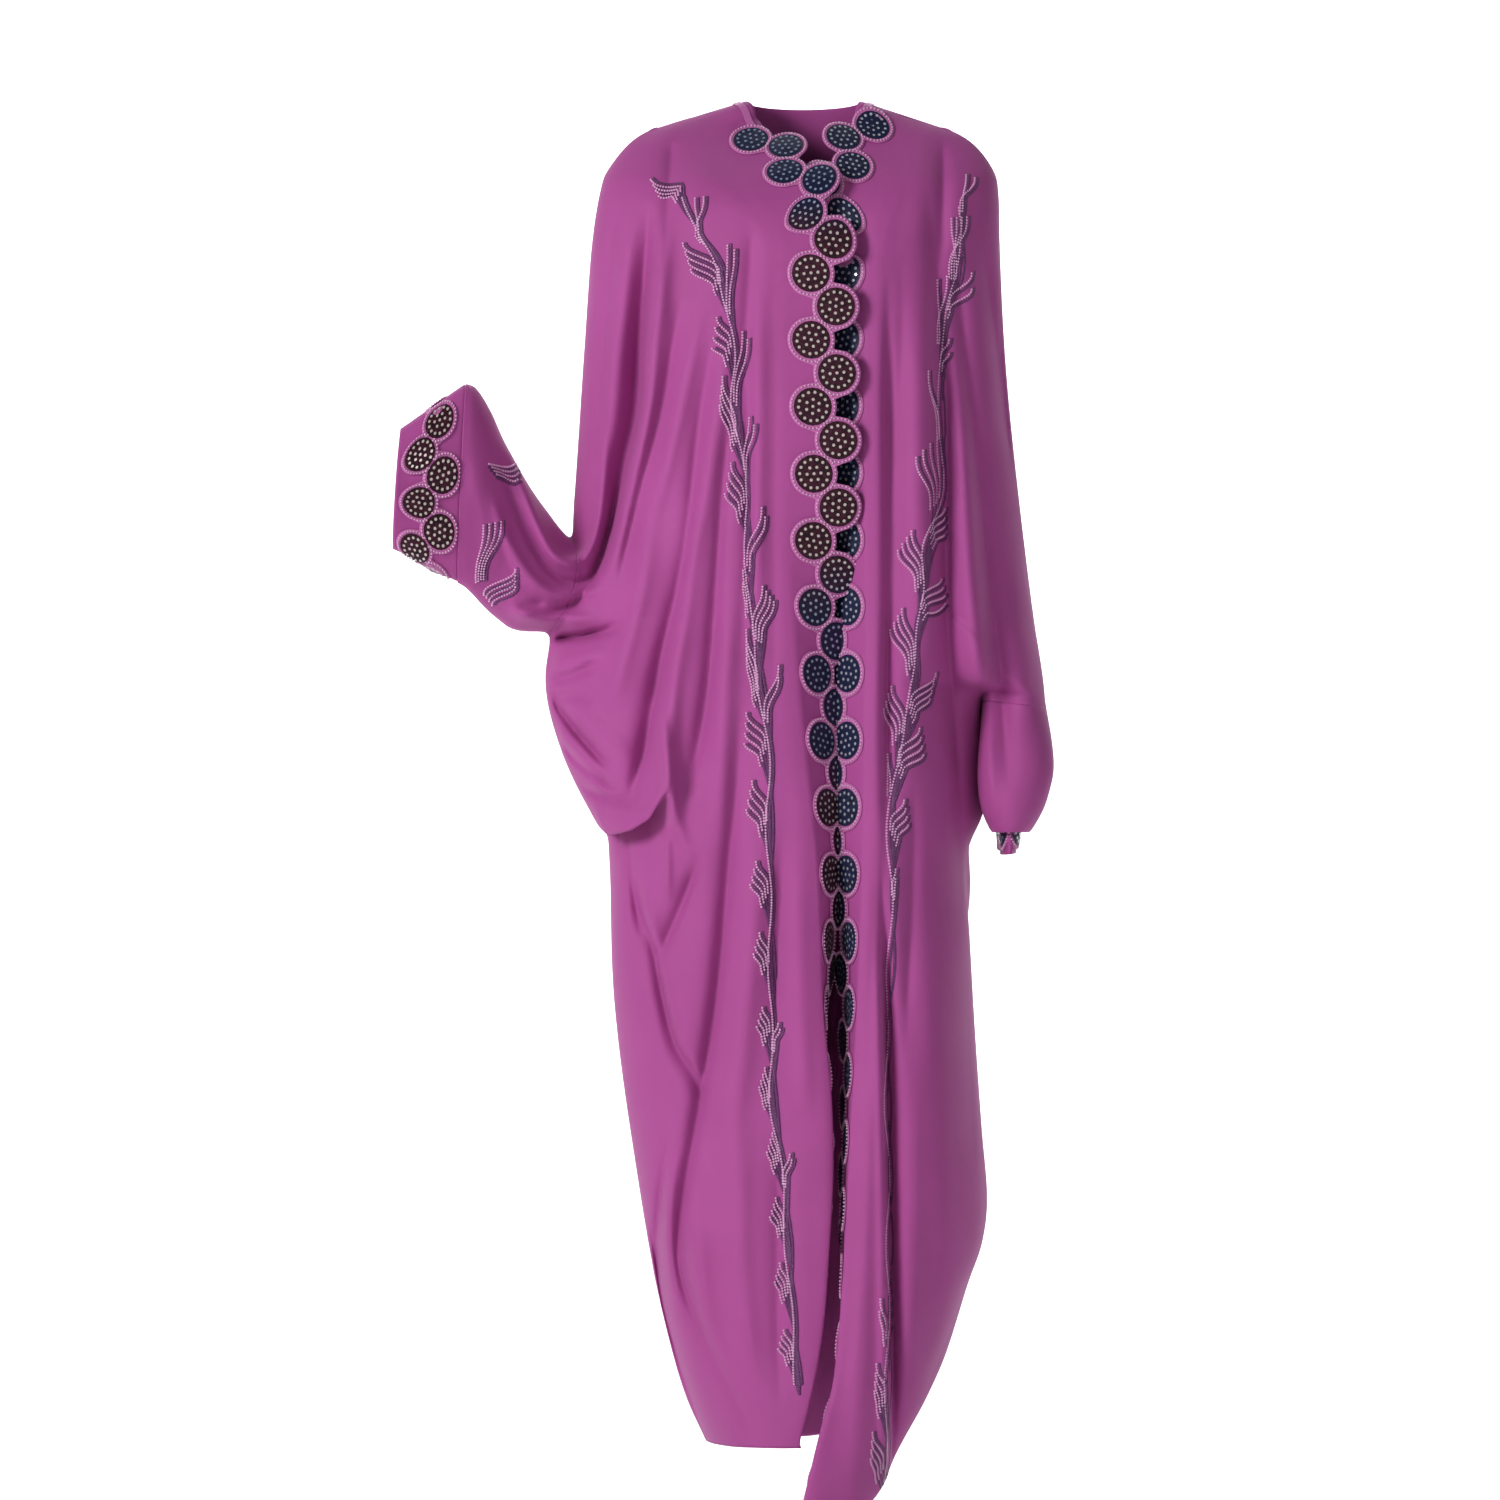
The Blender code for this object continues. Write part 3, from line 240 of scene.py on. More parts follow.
def fold_height(strokes, x, z):
    """Height of all the folds at places of the front view, in metres."""
    x, z = x / CM, z / CM
    total = np.zeros_like(x)
    for px, pz, half, rise, lean in strokes:
        reach = FOLD_REACH * half.max()
        near = (x > px.min() - reach) & (x < px.max() + reach)
        near &= (z > pz.min() - reach) & (z < pz.max() + reach)
        nx, nz = x[near], z[near]
        best = np.full(nx.shape, np.inf)
        where, flank = np.zeros_like(nx), np.zeros_like(nx)
        for i in range(len(px) - 1):
            dx, dz = px[i + 1] - px[i], pz[i + 1] - pz[i]
            along = clamp01(((nx - px[i]) * dx + (nz - pz[i]) * dz) / (dx * dx + dz * dz + 1e-9))
            ax, az = nx - px[i] - along * dx, nz - pz[i] - along * dz
            away = np.hypot(ax, az)
            nearer = away < best
            best = np.where(nearer, away, best)
            where = np.where(nearer, i + along, where)
            across = (az * dx - ax * dz) / (math.hypot(dx, dz) + 1e-9)
            flank = np.where(nearer, np.tanh(across / FLANK_CHANGE), flank)
        at = np.arange(len(px))
        width = np.interp(where, at, half) * (1 + np.interp(where, at, lean) * flank)
        height = np.interp(where, at, rise)
        trough, roll = (
            np.exp(-sharp * (np.sqrt((best / width) ** 2 + rounding) - crest) ** power)
            for sharp, rounding, crest, power in (TROUGH, ROLL)
        )
        total[near] += height * np.where(height < 0, trough, roll)
    return total * CM


def slack(x, z):
    """Slight unevenness of crepe that hangs from its seams, in metres."""
    broad = np.sin(61 * x + 15 * z + 1.3) * np.sin(19 * z - 27 * x + 0.4)
    small = np.sin(118 * x - 31 * z + 2.1) * np.sin(41 * z + 47 * x + 0.9)
    return 0.0011 * broad + 0.0005 * small


def armhole_place(cut, turn, face):
    """Place on the sleeve opening, turned from its top point round to its foot."""
    top, foot = (cut["outline"].point(row) for row in OPENING)
    swell, bow = cut["front_swell" if face < 0 else "back_swell"]
    arc = (top + foot) / 2 + (top - foot) / 2 * np.cos(turn)[..., None]
    arc[..., 0] += bow * CM * np.sin(turn)
    square = cut["square"] if face < 0 else 1.0
    arc[..., 1] += face * swell * CM * np.maximum(np.sin(turn), 0.0) ** square
    return arc


def seam_place(cut, row, face):
    """Place on a side seam. face is -1 on the front panel and 1 on the back one."""
    start, end = OPENING
    turn = math.pi * clamp01((row - start) / (end - start))
    inside = ((row >= start) & (row <= end))[..., None]
    return np.where(inside, armhole_place(cut, turn, face), cut["outline"].point(row))


def main_sheet(fold, side, share, late, full):
    """Ring from the fold line (share 0) round to the side (share 1)."""
    turn = share * math.pi / 2
    out = np.sin(turn)[..., None]
    point = fold + (side - fold) * out
    across = np.maximum(np.cos(turn), 0.0) ** full
    point[..., 1] = side[..., 1] + (fold[..., 1] - side[..., 1]) * across
    point[..., 2] = fold[..., 2] + (side[..., 2] - fold[..., 2]) * np.sin(turn) ** late
    return point


def rounded_shoulder(surface, row):
    """Makes the first row leave the shoulder seam level, so that front and back meet smoothly."""
    start, end, plain = surface(np.zeros_like(row)), surface(np.ones_like(row)), surface(row)
    turn = clamp01(row) * math.pi / 2
    rounded = start + (end - start) * np.sin(turn)[..., None]
    rounded[..., 2] = start[..., 2] + (end[..., 2] - start[..., 2]) * (1 - np.cos(turn))
    return np.where((row < 1.0)[..., None], rounded, plain)


def front_flat(cut, span, row):
    """Front panel before its folds. span is the distance in from the edge on the band, in metres,
    and 1 + share on the ring from the fold line to the side."""
    line = cut["fold_line"]
    fold, full = line.point(row), line.read("full", row)
    neck = cut["neckline"].point(np.minimum(row, NECK_ROWS))
    turn = np.radians(line.read("turn", row))
    hanging = np.stack([cut["towards"] * np.cos(turn), np.sin(turn), np.zeros_like(turn)], axis=-1)
    heading = np.where((row < NECK_ROWS)[..., None], (neck - fold) / BAND, hanging)
    band = fold + heading * (BAND - span)[..., None]
    late = line.read("late", row) if "late" in line.columns else np.full_like(row, FRONT_LATE)
    ring = main_sheet(fold, seam_place(cut, row, -1), clamp01(span - 1.0), late, full)
    return np.where((span >= 1.0)[..., None], ring, band)


def base_normals(points):
    """Unit normals of a grid of points."""
    return unit(np.cross(np.gradient(points, axis=0), np.gradient(points, axis=1)))


def tuck_under_lip(points, drop=LIP_DROP, lift=LIP_LIFT):
    """Folds the bag's lip over the side panel: just above the lip the cloth drops forward, and
    just below it the cloth goes up and back. Nothing moves at the side seam."""
    x, z = points[..., 0] / CM, points[..., 2] / CM
    lip = np.interp(x, LIP.columns["x"], LIP.columns["z"])
    deep = np.clip(points[..., 1] / (LIP_DEPTH * CM), -1.0, 1.0)
    share = ease((LIP_END - x) / LIP_FADE) * np.abs(deep)
    below = (lip - z) / LIP_REACH
    over, under = (
        share * np.exp(-(((below - middle) / half) ** 2)) for middle, half in (LIP_OVER, LIP_UNDER)
    )
    moved = points.copy()
    moved[..., 2] += (under * lift - over * drop) * CM
    moved[..., 1] -= (under * LIP_IN - over * LIP_OUT) * CM * deep
    return moved


def front_grid(cut, spans, rows):
    """Grid of the outer places of a front panel, before its folds."""
    row, span = np.meshgrid(rows, spans, indexing="ij")
    base = rounded_shoulder(lambda at: front_flat(cut, span, at), row)
    normal = base_normals(base)
    normal *= -np.sign(normal[..., 1].sum())
    keep = ease((span - 1.0) / PAST_FOLD) * clamp01(row / TOP_ROWS)
    keep = keep * (1 - ease((span - 1.0 - FRONT_SIDE[0]) / FRONT_SIDE[1]))
    points = base + normal * (slack(base[..., 0], base[..., 2]) * keep)[..., None]
    return tuck_under_lip(points) if cut is RIGHT else points


def added_up(steps):
    """Length reached after each of the steps, from nought."""
    return np.concatenate([[0], np.cumsum(steps)])


def run_length(grid, axis):
    """Mean length along a grid of places, up to each row or column."""
    return added_up(np.linalg.norm(np.diff(grid, axis=axis), axis=2).mean(axis=1 - axis))


def even_rows(grid, coarse):
    """Rows of the panels, evenly far apart on the cloth, with even steps round the opening."""
    length = run_length(grid, 0)
    parts = []
    for start, end in ((0.0, OPENING[0]), (OPENING[1], coarse[-1])):
        low, high = np.interp([start, end], coarse, length)
        count = int((high - low) / ROW_SPACING)
        parts.append(np.interp(np.linspace(low, high, count + 1), length, coarse))
    return np.concatenate([parts[0][:-1], np.linspace(*OPENING, OPENING_STEPS + 1), parts[1][1:]])


band_spans = np.linspace(0.0, BAND, BAND_COLUMNS + 1)[:-1]
front_spans = np.concatenate([band_spans, 1.0 + np.linspace(0, 1, RING_COLUMNS + 1)])
right_strokes = fold_strokes(right_short_folds, right_long_folds)
coarse_rows = np.linspace(0, LAST_ROW, COARSE_ROWS)
coarse_grid = front_grid(RIGHT, 1.0 + np.linspace(0.1, 0.9, 5), coarse_rows)
panel_rows = even_rows(coarse_grid, coarse_rows)
grids = {"front_right": front_grid(RIGHT, front_spans, panel_rows)}


# Left front: the second crepe panel. Its bordered band is turned in behind the edge of its
# outermost pleat, and its point reaches lowest. The arm hangs, so the sleeve leaves downwards.
SIDE_LEFT = Table("row x z y", [
    (0, 14.9, -1.8, 0.6), (1, 18.3, -3.4, 0), (2, 20.2, -5.8, 0), (3, 20.8, -8.9, 0),
    (4, 20.9, -14.2, 0), (6, 21.9, -31, 0.5), (8, 24.7, -55, 0.5), (9, 25.9, -62.5, 0.5),
    (11, 18.9, -61.4, 0.5), (12, 19.5, -67.5, 2.4), (13, 19.3, -74, 2.2), (14, 17.4, -79.2, 1.4),
    (15, 17.8, -88.7, 1), (17, 19, -107.6, 1), (18, 19.6, -115, 1), (19, 19.1, -119.7, 1),
    (20, 17.8, -123.5, 1), (22, 14.4, -133.4, 1), (23, 12.5, -136.2, 1), (24, 10.7, -138.1, 1),
])
FOLD_LEFT = Table("row x z y turn late full", [
    (0, 11.5, -0.7, 1.4, 0, 1.2, 0.86), (1, 11.3, -3, -1.6, 0, 1.2, 0.87),
    (2, 10.7, -5.6, -4.8, 0, 1.2, 0.89), (3, 9.9, -8, -7.5, 4, 1.2, 0.9),
    (4, 9, -10.4, -9.5, 10, 1.2, 1), (5, 8.1, -12.8, -10.7, 16, 1.2, 1.1),
    (6, 7.2, -16, -11.5, 24, 1.2, 1.23), (7, 6.9, -24, -12.4, 32, 1.2, 1.3),
    (8, 6.8, -36, -13.3, 38, 1.2, 1.2), (9, 6.9, -48, -13.6, 44, 1.2, 1.15),
    (9.5, 6.9, -51, -13.7, 45, 1.2, 1.8), (10, 6.9, -54, -13.8, 46, 1.2, 2.1),
    (10.5, 6.9, -57, -13.9, 47, 1.2, 1.7), (11, 6.8, -60, -14, 48, 1.2, 1.25),
    (12, 6.7, -68, -14.2, 49, 1.2, 1.3), (13, 6.5, -76, -14.4, 50, 1.2, 1.1),
    (14, 6.3, -82, -14.6, 60, 1.3, 0.86), (15, 5.9, -90, -14.9, 72, 1.3, 0.86),
    (16, 5.4, -100, -15.2, 80, 1.3, 0.86), (17, 4.9, -108, -15.4, 84, 1.4, 0.86),
    (18, 4.5, -116, -15.6, 86, 1.6, 0.86), (19, 4.1, -122, -15.7, 92, 1.8, 0.86),
    (20, 3.6, -128, -15.8, 100, 2.2, 0.86), (21, 2.8, -134, -15.8, 114, 2.8, 0.86),
    (22, 1.4, -139, -15.8, 120, 3.6, 0.86), (23, 0.3, -143.5, -15.7, 122, 4.6, 0.86),
    (24, -0.7, -147.5, -15.6, 124, 5.5, 0.86),
])
NECK_LEFT = Table("row x z y", [
    (0, 6.3, 1.2, 2.4), (1, 5.5, -0.7, 0.6), (2, 4.6, -2.9, -2), (3, 3.4, -5.1, -4.4),
    (4, 2.5, -7.3, -6.6), (5, 2.2, -10.8, -8.6), (6, 2.8, -16, -8.4),
])
LEFT = {
    "outline": SIDE_LEFT, "fold_line": FOLD_LEFT, "neckline": NECK_LEFT, "towards": -1.0,
    "front_swell": (7.6, 0.0), "back_swell": (7.0, 0.0), "square": 0.6,
}
left_short_folds = Table(SHORT_FOLDS, [
    (14.9, -2.2, 14.8, -10, 14.2, -18, 1, -1), (18.6, -12, 20.8, -26, 22.4, -41, 1, -1.1),
    (12.2, -18, 12.4, -40, 13, -66, 1.5, 0.8), (10.4, -15, 10.2, -36, 10, -60, 1.1, -0.7),
    (8.8, -16, 8.9, -46, 8.6, -84, 0.9, -1.8), (7.9, -14, 7.9, -50, 7.4, -90, 0.7, 0.5),
    (8.1, -78, 9.3, -112, 9.5, -154, 0.55, -2.8, 0.3), (7.5, -84, 8.5, -112, 8.6, -154, 0.6, 0.9),
    (7, -88, 6.4, -118, 5.4, -150, 1.2, 0.8), (11.6, -70, 11.4, -84, 10.6, -100, 0.9, -0.7),
    (11.2, -96, 11.6, -116, 11, -138, 1.2, 0.7), (13.4, -84, 13.8, -104, 14, -124, 2.4, 1.2),
    (17.2, -84, 17.6, -100, 18, -114, 1.3, -1), (18, -122, 15.4, -130, 12.4, -136, 0.8, -0.9),
    (22.6, -44, 23.6, -54, 23.4, -66, 1.4, 0.7),
])
left_long_folds = [
    [(13, -8, 1.2, 0), (14, -18, 1.3, -1.2), (14.8, -30, 1.4, -2.2), (14.9, -42, 1.3, -2.6),
     (15.1, -54, 1.3, -2.5), (15.7, -62, 1.3, -2.4), (16.3, -70, 1.3, -2.2), (16.5, -79, 1.2, -1.4),
     (16.6, -88, 1.1, 0)],
    [(15.6, -20, 1.2, 0), (16.9, -33, 1.2, 1), (17.5, -46, 1.2, 1.3), (18.1, -56, 1.2, 1.4),
     (18.9, -63, 1, 1.2), (19.4, -70, 0.9, 1), (19.6, -75, 0.8, 0)],
    [(15.8, -14, 1.1, 0), (17, -26, 1.1, -1.4), (18.6, -40, 1.1, -1.8), (19.8, -52, 1.1, -1.8),
     (20.9, -61, 1.1, -1.5), (21.3, -67, 1.1, -0.9), (21.5, -72, 1, 0)],
]
left_strokes = fold_strokes(left_short_folds, left_long_folds)
grids["front_left"] = front_grid(LEFT, front_spans, panel_rows)


# Back: one wide crepe panel with both back halves of the batwing, a curved neck edge, and long
# folds that fall from the shoulders.
BACK = Table("row x z y full", [
    (0, 0.1, 0.5, 5.4, 0.86), (1, 0.1, -2.5, 7, 0.87), (2, 0.1, -6, 8.3, 0.88),
    (3, 0.1, -10, 9.4, 0.89), (4, 0.1, -14.5, 10.1, 0.9), (6, 0.1, -26, 10.4, 1.15),
    (8, 0.1, -39, 10.2, 1.4), (9, 0.1, -46, 10.3, 1.7), (11, 0.1, -58, 11, 1.6),
    (13, 0.1, -71, 11.8, 0.92), (15, 0.1, -84, 12.4, 0.86), (17, 0.1, -98, 13, 0.86),
    (19, 0.1, -112, 13.4, 0.86), (21, 0.1, -125, 13.6, 0.86), (23, 0.1, -137, 13.4, 0.86),
    (24, 0.1, -141.5, 13.2, 0.86),
])
NECK_HALF = (6.1, 6.3)
NECK_SHARE, YOKE_ROWS = 0.34, 2.6
NECK_DEEP, NECK_DIP = 5.4, 0.7
BACK_LATE = 1.6
# the bag's back lies beyond this share, with its own drop and lift of the lip
BAG_SHARE, BACK_LIP = -0.3, (1.5, 1.6)
BACK_COLUMNS = (18, 38)
back_short_folds = Table(SHORT_FOLDS, [
    (-3.4, -12, -4, -70, -4.6, -148, 1.5, -2.4, 0.2),
    (3.6, -14, 4.2, -72, 4.8, -148, 1.4, -2.2, -0.2), (0.2, -30, 0.2, -80, 0.3, -148, 1.9, 1.5),
    (-8.2, -16, -8.6, -74, -7.2, -148, 1.8, 1.7), (8.4, -16, 8.8, -74, 8, -148, 1.8, 1.7),
    (-5.9, -40, -6.4, -90, -5.8, -148, 0.9, -0.8), (6.4, -36, 6.8, -86, 6.4, -148, 0.9, -0.8),
    (-13.4, -8, -12.8, -60, -10.4, -142, 1.5, -2.8, 0.2),
    (13.2, -8, 13.2, -60, 11.6, -142, 1.5, -2.5, -0.2), (-10.8, -24, -10.8, -70, -9, -140, 1, -0.9),
    (10.9, -22, 11, -70, 9.8, -140, 1, -0.9), (-17.6, -14, -18.6, -36, -20.6, -58, 1.7, 1.4),
    (17.4, -14, 18.2, -36, 19.4, -58, 1.7, 1.4), (-15.6, -16, -17.4, -34, -20, -50, 1, -1.2),
    (15.6, -14, 16.6, -34, 18.4, -56, 1, -1.4), (-14, -34, -20, -44, -24, -50, 1.2, -1.9),
    (-13.4, -42, -19, -50, -24.6, -54, 1.2, 0.8), (-12, -58, -20, -66, -25, -64, 1.4, -1.8),
    (-11.6, -50, -19, -60, -25.6, -59, 1.2, -0.9), (-11, -72, -17, -78, -21, -75, 1.3, -1.8),
    (-15.6, -80, -15.4, -104, -12.6, -134, 1.4, 1.5), (15.8, -66, 16.2, -96, 14, -130, 1.4, 1.6),
    (-17.4, -84, -17.4, -100, -15.6, -122, 0.9, -1), (17.6, -80, 17.8, -100, 16.4, -124, 0.9, -1),
    (-2, -84, -2.2, -112, -2.4, -148, 0.8, 0.6), (2, -80, 2.2, -112, 2.4, -148, 0.8, 0.6),
])


def back_flat(share, row):
    """Back panel before its folds. A share runs from -1 at the right side to 1 at the left."""
    centre, full = BACK.point(row), BACK.read("full", row)
    part, right = np.abs(share), share < 0
    ring_right, ring_left = (
        main_sheet(centre, seam_place(cut, row, 1), part, np.full_like(row, BACK_LATE), full)
        for cut in (RIGHT, LEFT)
    )
    ring = np.where(right[..., None], ring_right, ring_left)
    # the shoulder seams and the curved neck edge between them
    round_neck = clamp01(part / NECK_SHARE) * math.pi / 2
    along = clamp01((part - NECK_SHARE) / (1 - NECK_SHARE))
    half = np.where(right, NECK_HALF[0], NECK_HALF[1]) * CM
    tip_x = np.where(right, -SIDE_RIGHT.read("x", 0), SIDE_LEFT.read("x", 0)) * CM
    (neck_y, neck_z), (tip_y, tip_z) = (t.point(0)[1:] for t in (NECK_RIGHT, SIDE_RIGHT))
    x = np.sign(share) * (half * np.sin(round_neck) + (tip_x - half) * along)
    y = neck_y + (NECK_DEEP * CM - neck_y) * np.cos(round_neck) + (tip_y - neck_y) * along
    z = neck_z - NECK_DIP * CM * np.cos(round_neck) + (tip_z - neck_z) * along
    blend = ease(row / YOKE_ROWS)[..., None]
    return np.stack([x, y, z], axis=-1) * (1 - blend) + ring * blend


def back_grid(strokes, shares, rows):
    """Grid of the outer places of the back, with its folds."""
    row, share = np.meshgrid(rows, shares, indexing="ij")
    base = rounded_shoulder(lambda at: back_flat(share, at), row)
    normal = base_normals(base)
    normal *= np.sign(normal[..., 1].sum())
    x, z = base[..., 0], base[..., 2]
    keep = clamp01(row / TOP_ROWS) * (1 - ease((np.abs(share) - BACK_SIDE[0]) / BACK_SIDE[1]))
    rise = (fold_height(strokes, x, z) + slack(x + 0.3, z)) * keep
    points = base + normal * rise[..., None]
    return np.where((share < BAG_SHARE)[..., None], tuck_under_lip(points, *BACK_LIP), points)


neck_shares = np.linspace(-NECK_SHARE, NECK_SHARE, 2 * BACK_COLUMNS[0] + 1)
side_shares = np.linspace(NECK_SHARE, 1.0, BACK_COLUMNS[1] + 1)[1:]
back_shares = np.concatenate([-side_shares[::-1], neck_shares, side_shares])
back_strokes = fold_strokes(back_short_folds, [])
grids["back"] = back_grid(back_strokes, back_shares, panel_rows)


# Sleeves: the lower ends of the batwing, sewn on at the elbow. The right one follows the bent
# forearm, and the left one hangs and blouses over its cuff.
RINGS = "ring top_x top_z foot_x foot_z mid front back bow"
SLEEVE_RIGHT = Table(RINGS, [
    (0, -24.6, -45.7, -26.8, -55.3, -2.5, 4.6, 4.2, 2.4),
    (1, -26, -43.9, -28.8, -55.5, -3.2, 4.9, 4.4, 1.6),
    (2, -27.8, -41.5, -30.8, -55, -4.4, 5.1, 4.4, 0.9),
    (3, -29.7, -38.3, -32.6, -53.6, -5.8, 5.2, 4.4, 0.4),
    (4, -31.4, -35.2, -33.8, -52.4, -7.2, 5.1, 4.3, 0.2),
    (5, -32.7, -32.3, -34.5, -51.6, -8.3, 4.9, 4.1), (6, -34.2, -30, -35.4, -50.7, -9.5, 4.6, 3.9),
    (7, -35.3, -29.4, -36.2, -50.2, -10.2, 4.4, 3.7),
])
SLEEVE_LEFT = Table(RINGS, [
    (0, 25.9, -62.5, 18.9, -61.4, 0.5, 7.6, 7), (1, 26.4, -66, 18.6, -65.6, -3.8, 4.8, 11.6),
    (2, 26.5, -69.4, 18.4, -69.6, -5.4, 4.4, 13.8), (3, 26, -71.9, 18.5, -72.4, -5.8, 4.3, 14.6),
    (4, 25.2, -74.2, 19, -74.6, -5.6, 4.2, 14.4), (5, 23.8, -76.3, 20, -76.4, -4.6, 4.1, 12.6),
    (6, 23.9, -73.8, 20.1, -74.3, -2, 6.4, 10), (7, 23.78, -69.4, 20.26, -69.8, -0.6, 7.4, 8.1),
])
BACK_BOW = 0.25
SLEEVE_RINGS = 66
# a sleeve takes on its own unevenness over the first of these rings and its own shape by the second
OWN_SLACK, OWN_SHAPE = 0.5, 0.6
around = np.linspace(0, 2 * math.pi, 2 * OPENING_STEPS, endpoint=False)


def tube_surface(table, ring, turn):
    """Places of a sleeve or cuff. A ring runs from its top point round the front to its foot."""
    get = {name: table.read(name, ring) * CM for name in table.columns}
    cos, sin = np.cos(turn), np.sin(turn)
    ahead = sin > 0
    x, z = (
        (get["top_" + a] + get["foot_" + a]) / 2 + (get["top_" + a] - get["foot_" + a]) / 2 * cos
        for a in "xz"
    )
    x = x + get["bow"] * np.abs(sin) * np.where(ahead, 1.0, BACK_BOW)
    y = get["mid"] - np.where(ahead, get["front"], get["back"]) * sin
    return np.stack([x, y, z], axis=-1)


def sleeve_grid(table, panels):
    """Grid of a sleeve before its folds. Its first ring is the panels' own seam."""
    ring, turn = np.meshgrid(np.linspace(0, table.keys[-1], SLEEVE_RINGS), around, indexing="ij")
    base = tube_surface(table, ring, turn)
    normal = np.stack([0 * turn, -np.sin(turn), np.cos(turn)], axis=-1)
    rise = slack(base[..., 0] + 0.1, base[..., 2]) * ease(ring / OWN_SLACK)
    points = base + normal * rise[..., None]
    front_seam, back_seam = panels
    seam = np.concatenate([front_seam, back_seam[1:-1][::-1]])
    fade = ease(1 - ring / OWN_SHAPE)[..., None]
    return points + (seam - points[0])[None] * fade


opening_rows = slice(*np.searchsorted(panel_rows, [OPENING[0] - 1e-6, OPENING[1] + 1e-6]))
for side, table, last in (("right", SLEEVE_RIGHT, 0), ("left", SLEEVE_LEFT, -1)):
    seams = grids[f"front_{side}"][opening_rows, -1], grids["back"][opening_rows, last]
    grids[f"sleeve_{side}"] = sleeve_grid(table, seams)


# Sewing: the five panels are joined along the side seams and round the sleeve openings, and the
# crepe eases across the seams, so that arm and body run into each other. Each panel is then a thin
# shell of crepe on the form of its own solid.
RELAX_TIMES, RELAX_STEP = 110, 0.6
# how freely the cloth moves at these places, and how far from the sleeves' seams, right and left
SHOULDER_EASE, FOLD_LINE_EASE, SIDE_EASE = 0.9, 0.25, 0.10
RIM_REACH, SHOULDER_ROWS = (0.05, 0.09), 2.6
CREPE_WALL = 0.0009


def ease_seams(grids):
    """Evens the cloth out near its seams. Every panel keeps its own edges, and its hem stays."""
    number, sizes = {}, 0
    for name, grid in grids.items():
        number[name] = sizes + np.arange(grid[..., 0].size).reshape(grid.shape[:2])
        sizes += grid[..., 0].size
    points = np.concatenate([grid.reshape(-1, 3) for grid in grids.values()])
    # places that are sewn together count as one
    same = np.arange(sizes)
    for side, column in (("right", 0), ("left", -1)):
        front, back = number[f"front_{side}"][:, -1], number["back"][:, column]
        same[front] = back
        # in the opening, each panel is sewn to the sleeve alone
        front, back = front[opening_rows], back[opening_rows]
        ring = number[f"sleeve_{side}"][0]
        same[front[1:-1]] = front[1:-1]
        same[ring[: OPENING_STEPS + 1]] = same[front]
        same[ring[OPENING_STEPS + 1 :]] = back[1:-1][::-1]
    pairs = []
    for name, grid in number.items():
        across = np.stack([grid, np.roll(grid, -1, axis=1)], axis=-1)
        pairs.append((across if name.startswith("sleeve") else across[:, :-1]).reshape(-1, 2))
        pairs.append(np.stack([grid[:-1], grid[1:]], axis=-1).reshape(-1, 2))
    pairs = same[np.concatenate(pairs)]
    both = np.concatenate([pairs, pairs[:, ::-1]])
    count = np.maximum(np.bincount(both[:, 0], minlength=sizes), 1)

    # how freely each place moves: fully at the sleeve seams and nearly so over the shoulders, and
    # less at the side seams and fold lines
    free = np.zeros(sizes)
    rims = np.concatenate([grids[f"sleeve_{side}"][0] for side in ("right", "left")])
    shoulder = (SHOULDER_EASE * ease(panel_rows / 0.4) * ease(SHOULDER_ROWS - panel_rows))[:, None]
    for name, grid in grids.items():
        near = np.full(grid.shape[:2], np.inf)
        for place in rims:
            near = np.minimum(near, np.linalg.norm(grid - place, axis=-1))
        weight = ease(1 - near / (RIM_REACH[0] if name.endswith("right") else RIM_REACH[1]))
        if name.startswith("front"):
            span = front_spans[None, :]
            for other in (
                FOLD_LINE_EASE * np.exp(-(((span - 1.0) / 0.03) ** 2)),
                SIDE_EASE * ease((span - 1.9) / 0.1),
                shoulder * ease((span - 0.02) / 0.02),
            ):
                weight = np.maximum(weight, other)
            weight[:, 0] = weight[0] = weight[-1] = 0
        if name == "back":
            sides = SIDE_EASE * ease((np.abs(back_shares)[None, :] - 0.92) / 0.08)
            weight = np.maximum(np.maximum(weight, sides), shoulder)
            weight[0] = weight[-1] = 0
        if name.startswith("sleeve"):
            weight[-1] = 0
        free[number[name].ravel()] = weight.ravel()
    for _ in range(RELAX_TIMES):
        around = [np.bincount(both[:, 0], points[both[:, 1], i], sizes) for i in range(3)]
        step = np.stack(around, axis=1) / count[:, None] - points
        points = (points + step * (RELAX_STEP * free)[:, None])[same]
    return {name: points[places] for name, places in number.items()}


def in_scene(name, data):
    """A new object of the scene for a mesh, a light or a camera."""
    made = bpy.data.objects.new(name, data)
    bpy.context.scene.collection.objects.link(made)
    return made


